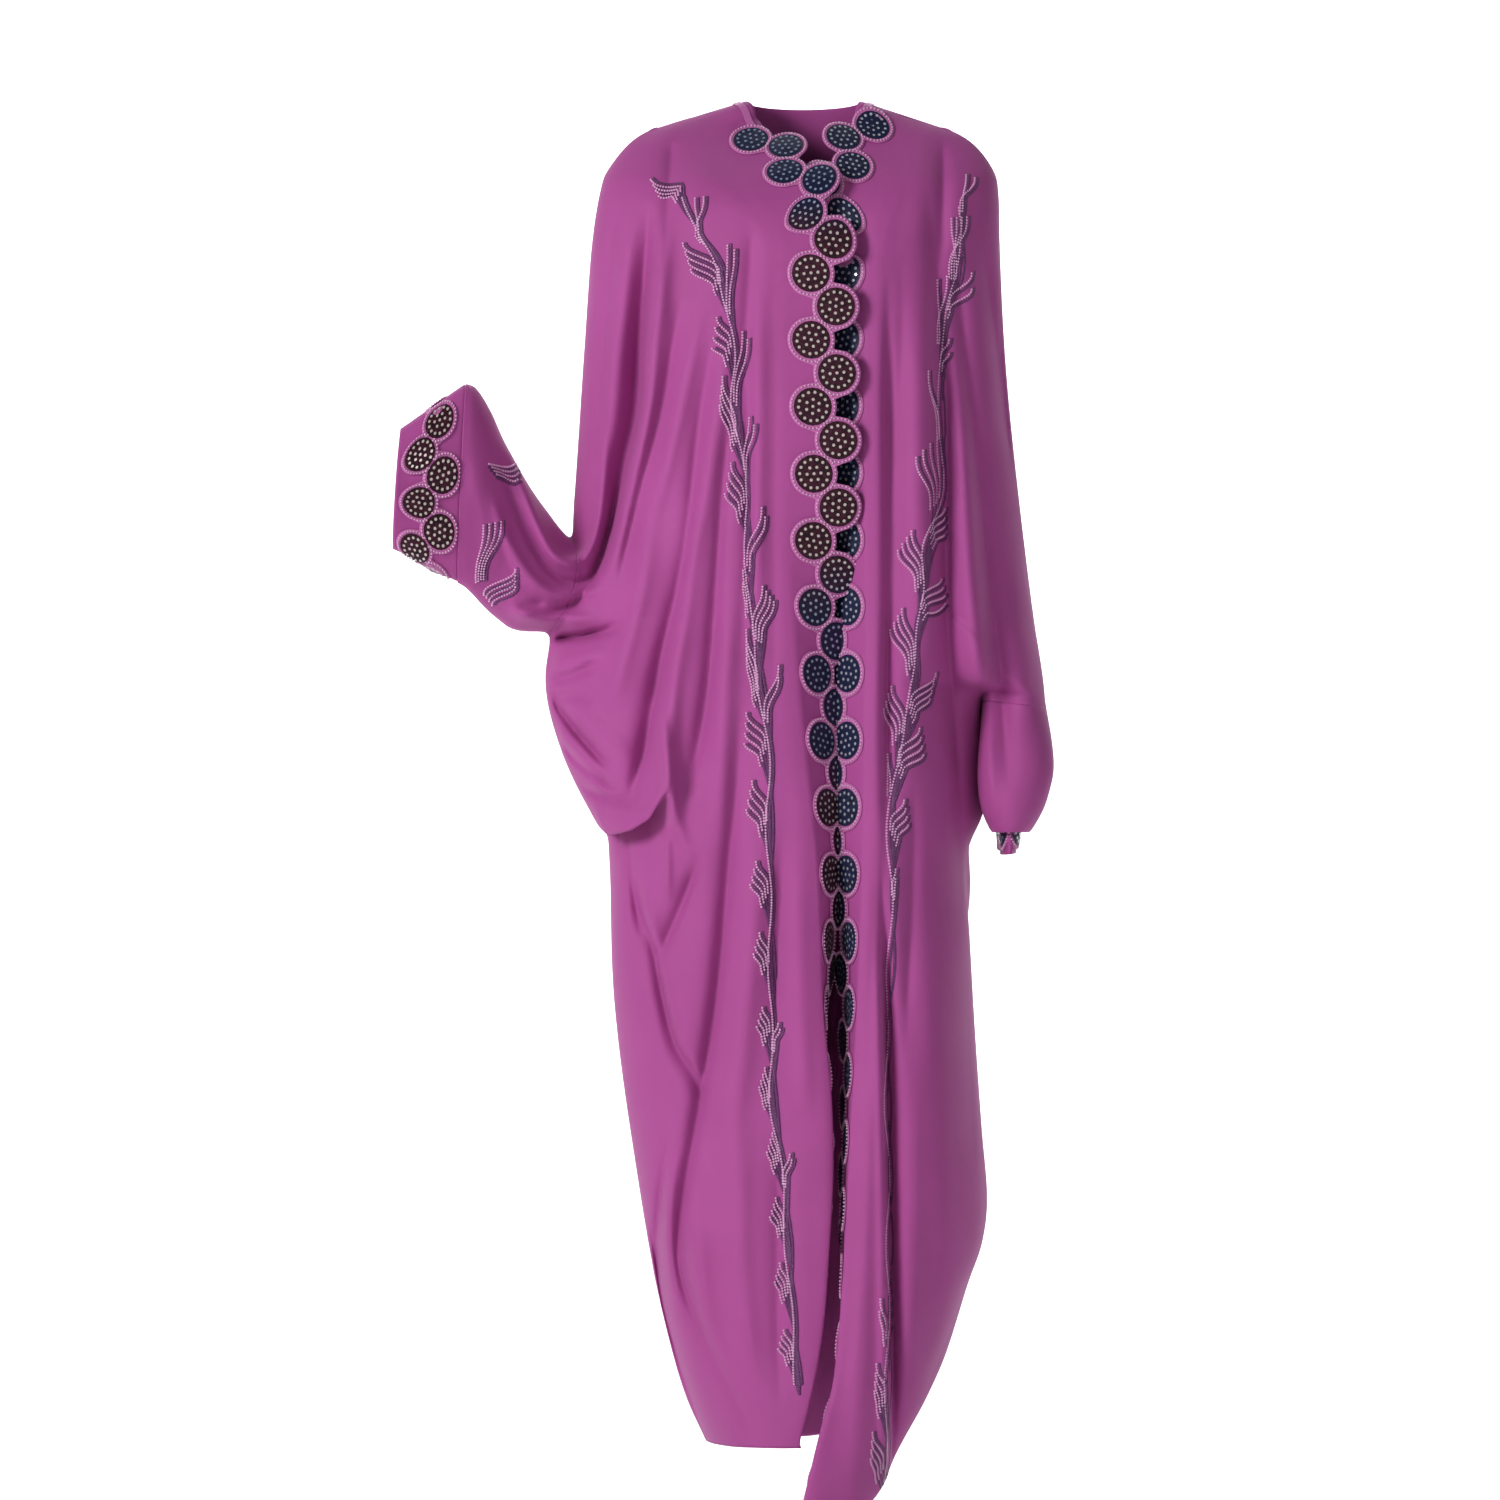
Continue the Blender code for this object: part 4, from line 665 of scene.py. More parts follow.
def sheet_piece(name, grid, finish, wall, away_from=None, closed=False):
    """Cloth piece from a grid of its outer places, with a UV map in metres and a thin wall inside.
    Its outer side faces away from a place, or away from a tube's own middle."""
    rows, columns = grid.shape[:2]
    wide = columns if closed else columns - 1
    across = np.arange(wide)
    beside = (across + 1) % columns
    low = (np.arange(rows - 1) * columns)[:, None]
    high = low + columns
    faces = np.stack([low + across, low + beside, high + beside, high + across], axis=-1)
    middle = grid.mean(axis=1, keepdims=True) if closed else np.array(away_from)
    facing = (base_normals(grid) * (grid - middle)).sum()
    # lengths along the cloth
    ring = np.concatenate([grid, grid[:, :1]], axis=1) if closed else grid
    down, over = run_length(grid, 0), run_length(ring, 1)
    u = np.stack([over[:-1], over[1:], over[1:], over[:-1]], axis=-1)
    v = np.stack([down[:-1], down[:-1], down[1:], down[1:]], axis=-1)[:, None]
    uv = np.stack(np.broadcast_arrays(u, v), axis=-1)
    if facing > 0:
        faces, uv = faces[..., ::-1], uv[..., ::-1, :]
    mesh = bpy.data.meshes.new(name)
    mesh.from_pydata(grid.reshape(-1, 3).tolist(), [], faces.reshape(-1, 4).tolist())
    layer = mesh.uv_layers.new(name="cloth")
    layer.data.foreach_set("uv", uv.reshape(-1).astype(np.float32))
    mesh.materials.append(finish)
    mesh.shade_smooth()
    piece = in_scene(name, mesh)
    shell = piece.modifiers.new("wall", "SOLIDIFY")
    shell.thickness = wall
    shell.offset = -1.0
    return piece


def new_material(name, shown):
    """A material with its node tree and its main shader. shown is its plain colour."""
    made = bpy.data.materials.new(name)
    made.use_nodes = True
    made.diffuse_color = (*shown, 1)
    return made, made.node_tree, made.node_tree.nodes["Principled BSDF"]


def set_inputs(tree, node, fixed, wired):
    """Sets some of a node's inputs and wires others."""
    for socket, value in dict(fixed).items():
        node.inputs[socket].default_value = value
    for socket, source in dict(wired).items():
        tree.links.new(source, node.inputs[socket])


def add_node(tree, kind, fixed=(), wired=(), **settings):
    """A new shader node with its settings, its set inputs and its wired ones."""
    node = tree.nodes.new("ShaderNode" + kind)
    for name, value in settings.items():
        setattr(node, name, value)
    set_inputs(tree, node, fixed, wired)
    return node


def two_tones(tree, one, other, share):
    """Colour between two tones."""
    ends = {"A": (*one, 1), "B": (*other, 1)}
    return add_node(tree, "Mix", ends, {"Factor": share}, data_type="RGBA").outputs["Result"]


def crepe_grain_group():
    """Fine pebbled grain of crepe on the cloth's own UV map, and the slow changes of its tone."""
    group = bpy.data.node_groups.new("crepe_grain", "ShaderNodeTree")
    for name, way in (("Grain per metre", "INPUT"), ("Height", "OUTPUT"), ("Tone", "OUTPUT")):
        group.interface.new_socket(name, in_out=way, socket_type="NodeSocketFloat")
    start, end = group.nodes.new("NodeGroupInput"), group.nodes.new("NodeGroupOutput")
    cloth = {"Vector": add_node(group, "UVMap", uv_map="cloth").outputs["UV"]}
    grain = {"Scale": start.outputs["Grain per metre"]}
    pebble = add_node(group, "TexNoise", {"Detail": 2.0}, cloth | grain)
    waves = {"Scale": 190.0, "Distortion": 5.0, "Detail": 2.0, "Detail Scale": 2.0}
    thread = add_node(group, "TexWave", waves, cloth)
    broad = add_node(group, "TexNoise", {"Scale": 7.0, "Detail": 3.0}, cloth)
    sums = (("Height", thread, 0.35, pebble), ("Tone", pebble, 0.22, broad))
    for name, one, share, other in sums:
        wired = {0: one.outputs["Fac"], 2: other.outputs["Fac"]}
        total = add_node(group, "Math", {1: share}, wired, operation="MULTIPLY_ADD")
        group.links.new(total.outputs["Value"], end.inputs[name])
    return group


def crepe_finish(name, dark, light, roughness, sheen, grain, depth):
    """Cloth finish of two near tones, with the crepe's grain and a soft sheen."""
    made, tree, shader = new_material(name, light)
    cloth = add_node(tree, "Group", {}, {}, node_tree=crepe_grain)
    cloth.inputs["Grain per metre"].default_value = grain
    tone = cloth.outputs["Tone"]
    ends = {"To Min": roughness - 0.06, "To Max": roughness + 0.06}
    rough = add_node(tree, "MapRange", ends, {"Value": tone})
    relief = {"Strength": 0.5, "Distance": depth}
    bump = add_node(tree, "Bump", relief, {"Height": cloth.outputs["Height"]})
    fixed = {
        "Sheen Weight": sheen,
        "Sheen Roughness": 0.45,
        "Sheen Tint": (1.0, 0.62, 0.9, 1),
        "Specular IOR Level": 0.28,
    }
    wired = {
        "Base Color": two_tones(tree, dark, light, tone),
        "Roughness": rough.outputs["Result"],
        "Normal": bump.outputs["Normal"],
    }
    set_inputs(tree, shader, fixed, wired)
    return made


crepe_grain = crepe_grain_group()
orchid_crepe = crepe_finish(
    "orchid_crepe", (0.36, 0.058, 0.252), (0.45, 0.082, 0.325), 0.66, 0.10, 900.0, 0.00016
)
grids = ease_seams(grids)

# Folds of the fronts and sleeves cross their seams, so they are laid once the seams have eased.
# They lie on the cloth that is in front of the side seam, or of the middle of the arm.
ARM_RIGHT = Table("x y", [(-36.2, -10.2), (-33, -8), (-29, -4.6), (-26, -2.6), (-20, -1)])
ARM_LEFT = Table("down y", [(58, 0.5), (62, 0.2), (66, -2.4), (70, -4.2), (77, -4.4)])
# where the left arm starts, and the side of the body beside it, in centimetres
ARM_START, ARM_BLEND, BODY_SIDE = 18.5, 0.8, 1.0
# how far ahead of that middle folds begin and are full, and the share of a sleeve that they leave
AHEAD, AHEAD_BLEND, SLEEVE_END = 0.004, 0.022, 0.2
elbow_short_folds = Table(SHORT_FOLDS, [
    (-34.4, -36, -33.4, -43, -31.2, -49.6, 1, 0.4),
    (-31.6, -53, -27.6, -54.2, -20.4, -53.9, 0.7, 1.4),
    (-27.2, -60.4, -24, -60.2, -20.8, -58, 0.6, -1.4),
    (-26.9, -51.9, -28.4, -52.8, -30.4, -52.6, 0.4, -0.6),
])
elbow_long_folds = [
    # lower end of the deep trough, which runs out under the forearm
    [(-19.4, -39, 0.6, 0, -0.3), (-20.3, -44, 0.55, -0.6, -0.3), (-21.6, -48.4, 0.55, -0.8, -0.2),
     (-23.4, -51.6, 0.55, -1.1), (-25.8, -53, 0.45, -0.8), (-28.6, -53.6, 0.45, 0)],
    # roll down the arm that turns round the crook of the elbow and up along the forearm
    [(-20.8, -34, 0.6, 0), (-20.9, -39, 0.6, 0.8), (-21.4, -43.6, 0.6, 1.4),
     (-22.5, -46.8, 0.6, 1.7), (-24.3, -48, 0.6, 1.9), (-26.3, -47, 0.6, 1.7),
     (-28.1, -43.4, 0.6, 1.4), (-29.6, -39, 0.6, 1), (-31.2, -34.6, 0.6, 0)],
    # trough under that roll
    [(-20.6, -45.6, 0.45, 0), (-22, -49, 0.45, -0.9), (-24.2, -50.1, 0.45, -1.2),
     (-26.6, -48.8, 0.45, -1.2), (-28.8, -45.4, 0.45, -1.1), (-30.6, -41, 0.45, -0.8),
     (-32.4, -36, 0.45, 0)],
    # second roll, which nests under the first
    [(-20.8, -50.6, 0.5, 0), (-23.4, -51.2, 0.5, 0.8), (-26.6, -51.2, 0.5, 1.1),
     (-29.4, -48.6, 0.5, 1), (-31.4, -44.6, 0.5, 0.8), (-32.6, -40.4, 0.5, 0)],
    # shadowed step under the forearm
    [(-28.4, -56.4, 0.45, 0), (-26.8, -56, 0.4, -1.9), (-23.8, -55.7, 0.4, -3),
     (-21, -55.2, 0.4, -2.3), (-18.8, -54.6, 0.5, 0)],
]
right_strokes += fold_strokes(elbow_short_folds, elbow_long_folds)
for side, strokes in (("right", right_strokes), ("left", left_strokes)):
    for name in (f"front_{side}", f"sleeve_{side}"):
        places = grids[name]
        x, y, z = (places[..., i] for i in range(3))
        if side == "right":
            middle = ARM_RIGHT.read("y", x / CM)
        else:
            on_arm = ease((x / CM - ARM_START) / ARM_BLEND)
            middle = ARM_LEFT.read("y", -z / CM) * on_arm + BODY_SIDE * (1 - on_arm)
        keep = ease((middle * CM - y - AHEAD) / AHEAD_BLEND)
        if name.startswith("front"):
            past = ease((front_spans - 1.0) / PAST_FOLD)
            keep = keep * past * clamp01(panel_rows / TOP_ROWS)[:, None]
        else:
            keep = keep * ease(np.linspace(1, 0, SLEEVE_RINGS)[:, None] / SLEEVE_END)
        places[..., 1] -= fold_height(strokes, x, z) * keep


def crepe_piece(name, grid, away_from=None, closed=False):
    """A crepe piece in place of the solid of its name."""
    piece = sheet_piece(name + "_crepe", grid, orchid_crepe, CREPE_WALL, away_from, closed)
    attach(piece, "root")
    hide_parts(name)


PANELS = {
    "front_right": ((0.40, 1.46), 0.50),
    "front_left": ((0.36, 1.50), 0.44),
    "back": ((0.62, 1.46), 0.78),
    "sleeve_right": ((0.29, 0.26), 0.062),
    "sleeve_left": ((0.34, 0.27), 0.082),
}
for name, (flat, area) in PANELS.items():
    crepe_piece(name, grids[name], (0, 0, -0.6), name.startswith("sleeve"))


# Cuffs: a separate crepe band on each sleeve end, which carries its own ring of discs. The right
# one flares like a trumpet, and the left one is nearly hidden inside the bloused sleeve.
CUFF_RIGHT = Table(RINGS, [
    (0, -35.5, -29.5, -36.4, -50.05, -10.32, 4.3, 3.6),
    (1, -42, -34.2, -42.8, -46.8, -14.2, 3.5, 3),
])
CUFF_LEFT = Table(RINGS, [
    (0, 23.74, -69.8, 20.52, -70.2, -0.2, 7.22, 7.12),
    (1, 22.6, -78.6, 20.9, -78.8, -0.2, 6.95, 6.85),
])
CUFF_DISCS, CUFF_RINGS, CUFF_SLACK = 7, 26, 1.2
SEAM_ALLOWANCE = 0.0024
CUFFS = {
    "cuff_right": (CUFF_RIGHT, (0.17, 0.40), 0.030),
    "cuff_left": (CUFF_LEFT, (0.10, 0.34), 0.027),
}
cuff_grids = {}
for name, (table, flat, area) in CUFFS.items():
    rings, turns = np.meshgrid(np.linspace(0, 1, CUFF_RINGS), around, indexing="ij")
    grid = tube_surface(table, rings, turns)
    middle = grid.mean(axis=1, keepdims=True)
    wave = slack(grid[..., 0] + 0.2, grid[..., 2] + grid[..., 1]) * CUFF_SLACK
    grid = grid + unit(grid - middle) * wave[..., None]
    cuff_grids[name] = grid
    if name == "cuff_right":
        # its seam allowance lies inside the end of the sleeve
        end = grids["sleeve_right"][-3]
        inward = unit(end.mean(axis=0) - end)
        grid = np.concatenate([(end + inward * SEAM_ALLOWANCE)[None], grid])
    crepe_piece(name, grid, closed=True)


# Disc borders of the fronts, the back of the neck and the cuffs: a satin band with scalloped edges
# carries two staggered columns of black sequinned discs. Each disc has 21 flat-backed stones and a
# rim of small lilac beads, all stitched on through the band.
DISC_RADIUS, RIM_RADIUS, SCALLOP_RADIUS = 0.0200, 0.0228, 0.0250
DISC_OFFSET, DISC_STEP, EDGE_TO_BORDER_LINE = 0.013, 0.035, 0.011
STONE_RINGS = ((1, 0.0), (6, 0.0073), (14, 0.0150))
STONE_RADIUS = 0.00175
RIM_BEADS, BEAD_RADIUS = 36, 0.00115
BAND_LIFT, BAND_WALL = 0.0016, 0.0008
# a disc is domed this much above its rim, and its rim stands this far above the band
DISC_DOME, DISC_RIM = 0.0006, 0.0009
# how far above the band the discs of the inner and the outer column lie
COLUMN_LIFT = (0.0002, 0.0009)
RIM_GAP = 0.0004
BORDER_END = 0.012
MAP_STEP, MAP_HALF, MAP_COLUMNS, MAP_SMOOTHING = 0.0035, 0.042, 29, 3
BAND_STEP, BAND_WAIST = 0.0025, 0.004


def at_distance(line, distance):
    """Place at a distance along a line of places, run on straight before its first one."""
    steps = np.linalg.norm(np.diff(line, axis=0), axis=1)
    if distance < 0:
        return line[0] + (line[2] - line[0]) / (steps[0] + steps[1]) * distance
    return np.array([np.interp(distance, added_up(steps), line[:, i]) for i in range(3)])


class BorderMap:
    """The face that a border lies on: along its middle line, across it and up from the cloth."""

    def __init__(self, lines, inset, towards, closed=False):
        path = np.array([at_distance(line, inset) for line in lines])
        if closed:
            path = np.concatenate([path, path[:1]])
        length = added_up(np.linalg.norm(np.diff(path, axis=0), axis=1))
        self.length, self.closed = length[-1], closed
        self.along = np.linspace(0, self.length, int(self.length / MAP_STEP) + 1)
        self.across = np.linspace(-MAP_HALF, MAP_HALF, MAP_COLUMNS)
        spread = np.array([[at_distance(line, inset + d) for d in self.across] for line in lines])
        at = np.interp(self.along, length, np.arange(len(path)))
        low = np.minimum(at, len(path) - 2).astype(int)
        share = (at - low)[:, None, None]
        places = spread[low % len(lines)] * (1 - share) + spread[(low + 1) % len(lines)] * share
        for _ in range(MAP_SMOOTHING):
            places[1:-1] = (places[:-2] + 2 * places[1:-1] + places[2:]) / 4
        normal = base_normals(places)
        facing = normal[: max(4, len(normal) // 4)] @ np.array(towards)
        self.places, self.normals = places, normal * np.sign(facing.mean())

    def at(self, along, across, height):
        """Places of the border in the room."""
        if self.closed:
            along = np.mod(along, self.length)
        i = np.clip(along / self.length * (len(self.along) - 1), 0, len(self.along) - 1.001)
        step = self.across[1] - self.across[0]
        j = np.clip((across - self.across[0]) / step, 0, len(self.across) - 1.001)
        i0, j0 = i.astype(int), j.astype(int)
        a, b = (i - i0)[..., None], (j - j0)[..., None]

        def blended(values):
            low = values[i0, j0] * (1 - b) + values[i0, j0 + 1] * b
            high = values[i0 + 1, j0] * (1 - b) + values[i0 + 1, j0 + 1] * b
            return low * (1 - a) + high * a

        return blended(self.places) + unit(blended(self.normals)) * height[..., None]


def disc_places(border, shift, step, first):
    """Middle of every disc: the place along and across. Odd discs stand over the panel's edge."""
    found = []
    k = 0 if border.closed else math.ceil((first - shift) / step)
    last = border.length - (step * 0.5 if border.closed else BORDER_END)
    while shift + k * step < last:
        found.append((shift + k * step, -DISC_OFFSET if k % 2 else DISC_OFFSET))
        k += 1
    return found


def scalloped_band(border, discs, radius):
    """Grid of the band under the discs, with an edge that follows them on both sides."""
    along = np.linspace(0, border.length, int(border.length / BAND_STEP) + 1)
    if border.closed:
        along = along[:-1]
    low, high = np.full(len(along), -BAND_WAIST), np.full(len(along), BAND_WAIST)
    for place, side in discs:
        away = np.abs(along - place)
        if border.closed:
            away = np.minimum(away, border.length - away)
        chord = np.sqrt(np.maximum(radius**2 - away**2, 0.0))
        low = np.where(away < radius, np.minimum(low, side - chord), low)
        high = np.where(away < radius, np.maximum(high, side + chord), high)
    across = low[:, None] + (high - low)[:, None] * np.linspace(0, 1, 15)
    height = np.full(across.shape, BAND_LIFT)
    grid = border.at(np.broadcast_to(along[:, None], across.shape), across, height)
    return grid, (high - low).mean() * border.length


def template(shape):
    """Points and faces of a small shape, from its bmesh."""
    shape.verts.index_update()
    points = np.array([v.co[:] for v in shape.verts])
    faces = [[v.index for v in face.verts] for face in shape.faces]
    shape.free()
    return points, faces


def stitched_on(name, shape, placed, finish):
    """One piece of many copies of a small shape, each already bent onto the cloth."""
    points, faces = shape
    mesh = bpy.data.meshes.new(name)
    made = [[v + len(points) * k for v in face] for k in range(len(placed)) for face in faces]
    mesh.from_pydata(np.concatenate(placed).tolist(), [], made)
    mesh.materials.append(finish)
    mesh.shade_smooth()
    piece = in_scene(name, mesh)
    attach(piece, "root")
    return piece


# a disc is slightly domed, with its edge turned down to the band
disc_shape = bmesh.new()
bmesh.ops.create_circle(disc_shape, cap_ends=True, segments=20, radius=1.0)
for narrower in (0.08, 0.26, 0.26):
    middle = [f for f in disc_shape.faces if len(f.verts) > 4]
    bmesh.ops.inset_region(disc_shape, faces=middle, thickness=narrower, depth=0.0)
bmesh.ops.poke(disc_shape, faces=[f for f in disc_shape.faces if len(f.verts) > 4])
for vertex in disc_shape.verts:
    out = math.hypot(vertex.co.x, vertex.co.y)
    vertex.co.z = 0.0 if out > 0.98 else DISC_RIM + DISC_DOME * (1 - out**2)
disc_template = template(disc_shape)

# a flat-backed stone: six facets round a flat top
stone_shape = bmesh.new()
bmesh.ops.create_circle(stone_shape, cap_ends=True, segments=6, radius=1.0)
bmesh.ops.inset_region(stone_shape, faces=stone_shape.faces[:], thickness=0.42, depth=0.0)
for vertex in stone_shape.verts:
    vertex.co.z = 0.55 if math.hypot(vertex.co.x, vertex.co.y) < 0.9 else 0.0
stone_template = template(stone_shape)

bead_shape = bmesh.new()
bmesh.ops.create_icosphere(bead_shape, subdivisions=1, radius=1.0)
bead_template = template(bead_shape)


def bluer_places(tree, colour, bluer):
    """Turns a colour bluer round the neck and below the chest, as the light falls there."""
    place = add_node(tree, "TexCoord").outputs["Object"]
    height = add_node(tree, "SeparateXYZ", {}, {"Vector": place}).outputs["Z"]
    down = add_node(tree, "MapRange", {"From Min": 0.0, "From Max": -1.0}, {"Value": height})
    ramp = add_node(tree, "ValToRGB", {}, {"Fac": down.outputs["Result"]})
    stops = ((0.10, 1.0), (0.14, 0.0), (0.47, 0.0), (0.54, 0.9), (0.68, 0.9), (0.73, 0.1))
    while len(ramp.color_ramp.elements) < len(stops):
        ramp.color_ramp.elements.new(0.5)
    for stop, (at, value) in zip(ramp.color_ramp.elements, stops):
        stop.position = at
        stop.color = (value, value, value, 1)
    wired = {"A": colour, "Factor": ramp.outputs["Color"]}
    tint = add_node(tree, "Mix", {"B": (*bluer, 1)}, wired, data_type="RGBA")
    return tint.outputs["Result"]


def sequin_finish(name, dark, glint):
    """Black sequin ground: overlapping flakes with a faint colour in their glints."""
    made, tree, shader = new_material(name, dark)
    place = add_node(tree, "TexCoord").outputs["Object"]
    flake = add_node(tree, "TexVoronoi", {"Scale": 420.0}, {"Vector": place}).outputs
    chance = add_node(tree, "SeparateColor", {}, {"Color": flake["Color"]}).outputs["Red"]
    colour = bluer_places(tree, two_tones(tree, dark, glint, chance), SEQUIN_BLUE)
    relief = {"Strength": 0.7, "Distance": 0.0006}
    bump = add_node(tree, "Bump", relief, {"Height": flake["Distance"]})
    wired = {"Base Color": colour, "Normal": bump.outputs["Normal"]}
    set_inputs(tree, shader, {"Roughness": 0.5, "Specular IOR Level": 0.22}, wired)
    return made


def bead_finish(name, colour, other, roughness, metal, bluer=None):
    """Glass beads or stones of two near colours, which change from one to the next."""
    made, tree, shader = new_material(name, colour)
    place = add_node(tree, "TexCoord").outputs["Object"]
    change = add_node(tree, "TexNoise", {"Scale": 210.0}, {"Vector": place}).outputs["Fac"]
    shown = two_tones(tree, colour, other, change)
    if bluer:
        shown = bluer_places(tree, shown, bluer)
    fixed = {"Roughness": roughness, "Metallic": metal, "Coat Weight": 0.4, "Coat Roughness": 0.12}
    set_inputs(tree, shader, fixed, {"Base Color": shown})
    return made


SEQUIN_BLUE = (0.008, 0.012, 0.045)
satin = crepe_finish(
    "orchid_satin", (0.44, 0.09, 0.31), (0.60, 0.19, 0.47), 0.42, 0.15, 1500.0, 0.00010
)
maroon_sequin = sequin_finish("sequin_maroon_black", (0.010, 0.002, 0.005), (0.060, 0.008, 0.026))
blue_sequin = sequin_finish("sequin_blue_black", (0.006, 0.006, 0.014), (0.02, 0.03, 0.09))
champagne_stone = bead_finish(
    "stone_champagne", (0.62, 0.50, 0.47), (0.78, 0.70, 0.66), 0.22, 0.3, (0.34, 0.40, 0.60)
)
silver_stone = bead_finish("stone_silver_blue", (0.40, 0.44, 0.55), (0.68, 0.66, 0.74), 0.2, 0.35)
lilac_bead = bead_finish("bead_lilac", (0.72, 0.34, 0.60), (0.88, 0.60, 0.78), 0.3, 0.1)


def disc_border(name, border, shift, step, scale, finishes, first=BORDER_END):
    """The band of one border with its discs, stones and beads."""
    discs = disc_places(border, shift, step, first)
    grid, area = scalloped_band(border, discs, SCALLOP_RADIUS * scale)
    if border.closed:
        grid = grid.transpose(1, 0, 2)
    away = tuple((border.places - border.normals).reshape(-1, 3).mean(axis=0))
    band = sheet_piece(name + "_band", grid, satin, BAND_WALL, away, border.closed)
    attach(band, "root")
    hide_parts(name)

    def bent(shape, size, place, height):
        points = shape[0] * size
        return border.at(place[0] + points[:, 0], place[1] + points[:, 1], height + points[:, 2])

    def round_ring(middle, out, count, turned=0.0):
        turns = [2 * math.pi * k / count + turned for k in range(count)]
        return [(middle[0] + out * math.cos(t), middle[1] + out * math.sin(t)) for t in turns]

    def covers(disc, place):
        gap = abs(place[0] - disc[0])
        gap = min(gap, border.length - gap) if border.closed else gap
        return math.hypot(gap, place[1] - disc[1]) < (DISC_RADIUS + RIM_GAP) * scale

    disc_copies, stone_copies, bead_copies = [], [], []
    flat_size = (DISC_RADIUS * scale, DISC_RADIUS * scale, 1.0)
    for number, disc in enumerate(discs):
        # discs of the outer column lie over those of the inner one
        height = BAND_LIFT + COLUMN_LIFT[disc[1] < 0]
        disc_copies.append(bent(disc_template, flat_size, disc, height))
        for ring, (count, out) in enumerate(STONE_RINGS):
            lift = height + DISC_RIM + DISC_DOME * (1 - (out / DISC_RADIUS) ** 2)
            for place in round_ring(disc, out * scale, count, 0.4 * ring + 0.7 * number):
                stone_copies.append(bent(stone_template, STONE_RADIUS, place, lift))
        # a bead is left out where another disc lies over its place
        others = [other for other in discs if other is not disc]
        for place in round_ring(disc, RIM_RADIUS * scale, RIM_BEADS):
            if not any(covers(other, place) for other in others):
                bead_copies.append(bent(bead_template, BEAD_RADIUS, place, BAND_LIFT + DISC_RIM))
    sequin, stones = finishes
    on_band = [
        stitched_on(name + "_discs", disc_template, disc_copies, sequin),
        stitched_on(name + "_stones", stone_template, stone_copies, stones),
        stitched_on(name + "_rim_beads", bead_template, bead_copies, lilac_bead),
    ]


FINISHES = {"right": (maroon_sequin, champagne_stone), "left": (blue_sequin, silver_stone)}
# where the first disc of each front would be, and where discs may begin
FRONT_SHIFT, FRONT_FIRST = {"right": 0.0655, "left": 0.037}, 0.034
for side, shift in FRONT_SHIFT.items():
    border = BorderMap(grids[f"front_{side}"], EDGE_TO_BORDER_LINE, (0.0, -1.0, 0.0))
    name, held_on = f"border_front_{side}", f"front_{side}_crepe"
    disc_border(name, border, shift, DISC_STEP, 1.0, FINISHES[side], FRONT_FIRST)

neck_columns = slice(BACK_COLUMNS[1], BACK_COLUMNS[1] + 2 * BACK_COLUMNS[0] + 1)
lines = grids["back"][:, neck_columns].transpose(1, 0, 2)
NECK_INSET, NECK_SHIFT = DISC_RADIUS + DISC_OFFSET + 0.006, 0.02
border = BorderMap(lines, NECK_INSET, (0.0, 1.0, 0.4))
disc_border("border_neck_back", border, NECK_SHIFT, DISC_STEP, 1.0, FINISHES["left"])

CUFF_INSET, CUFF_SHIFT, CUFF_SCALE = 0.0255 + DISC_OFFSET + 0.001, 0.033, 0.9
for side, finishes in FINISHES.items():
    grid = cuff_grids[f"cuff_{side}"]
    border = BorderMap(grid.transpose(1, 0, 2)[:, ::-1], CUFF_INSET, (0.0, -1.0, 0.0), closed=True)
    # every face of the ring looks away from the middle of the cuff
    outward = border.places - grid.mean(axis=(0, 1))
    border.normals = border.normals * np.sign((border.normals * outward).sum())
    step = border.length / (2 * CUFF_DISCS)
    name, held_on = f"border_cuff_{side}", f"cuff_{side}_crepe"
    disc_border(name, border, CUFF_SHIFT, step, CUFF_SCALE, finishes)


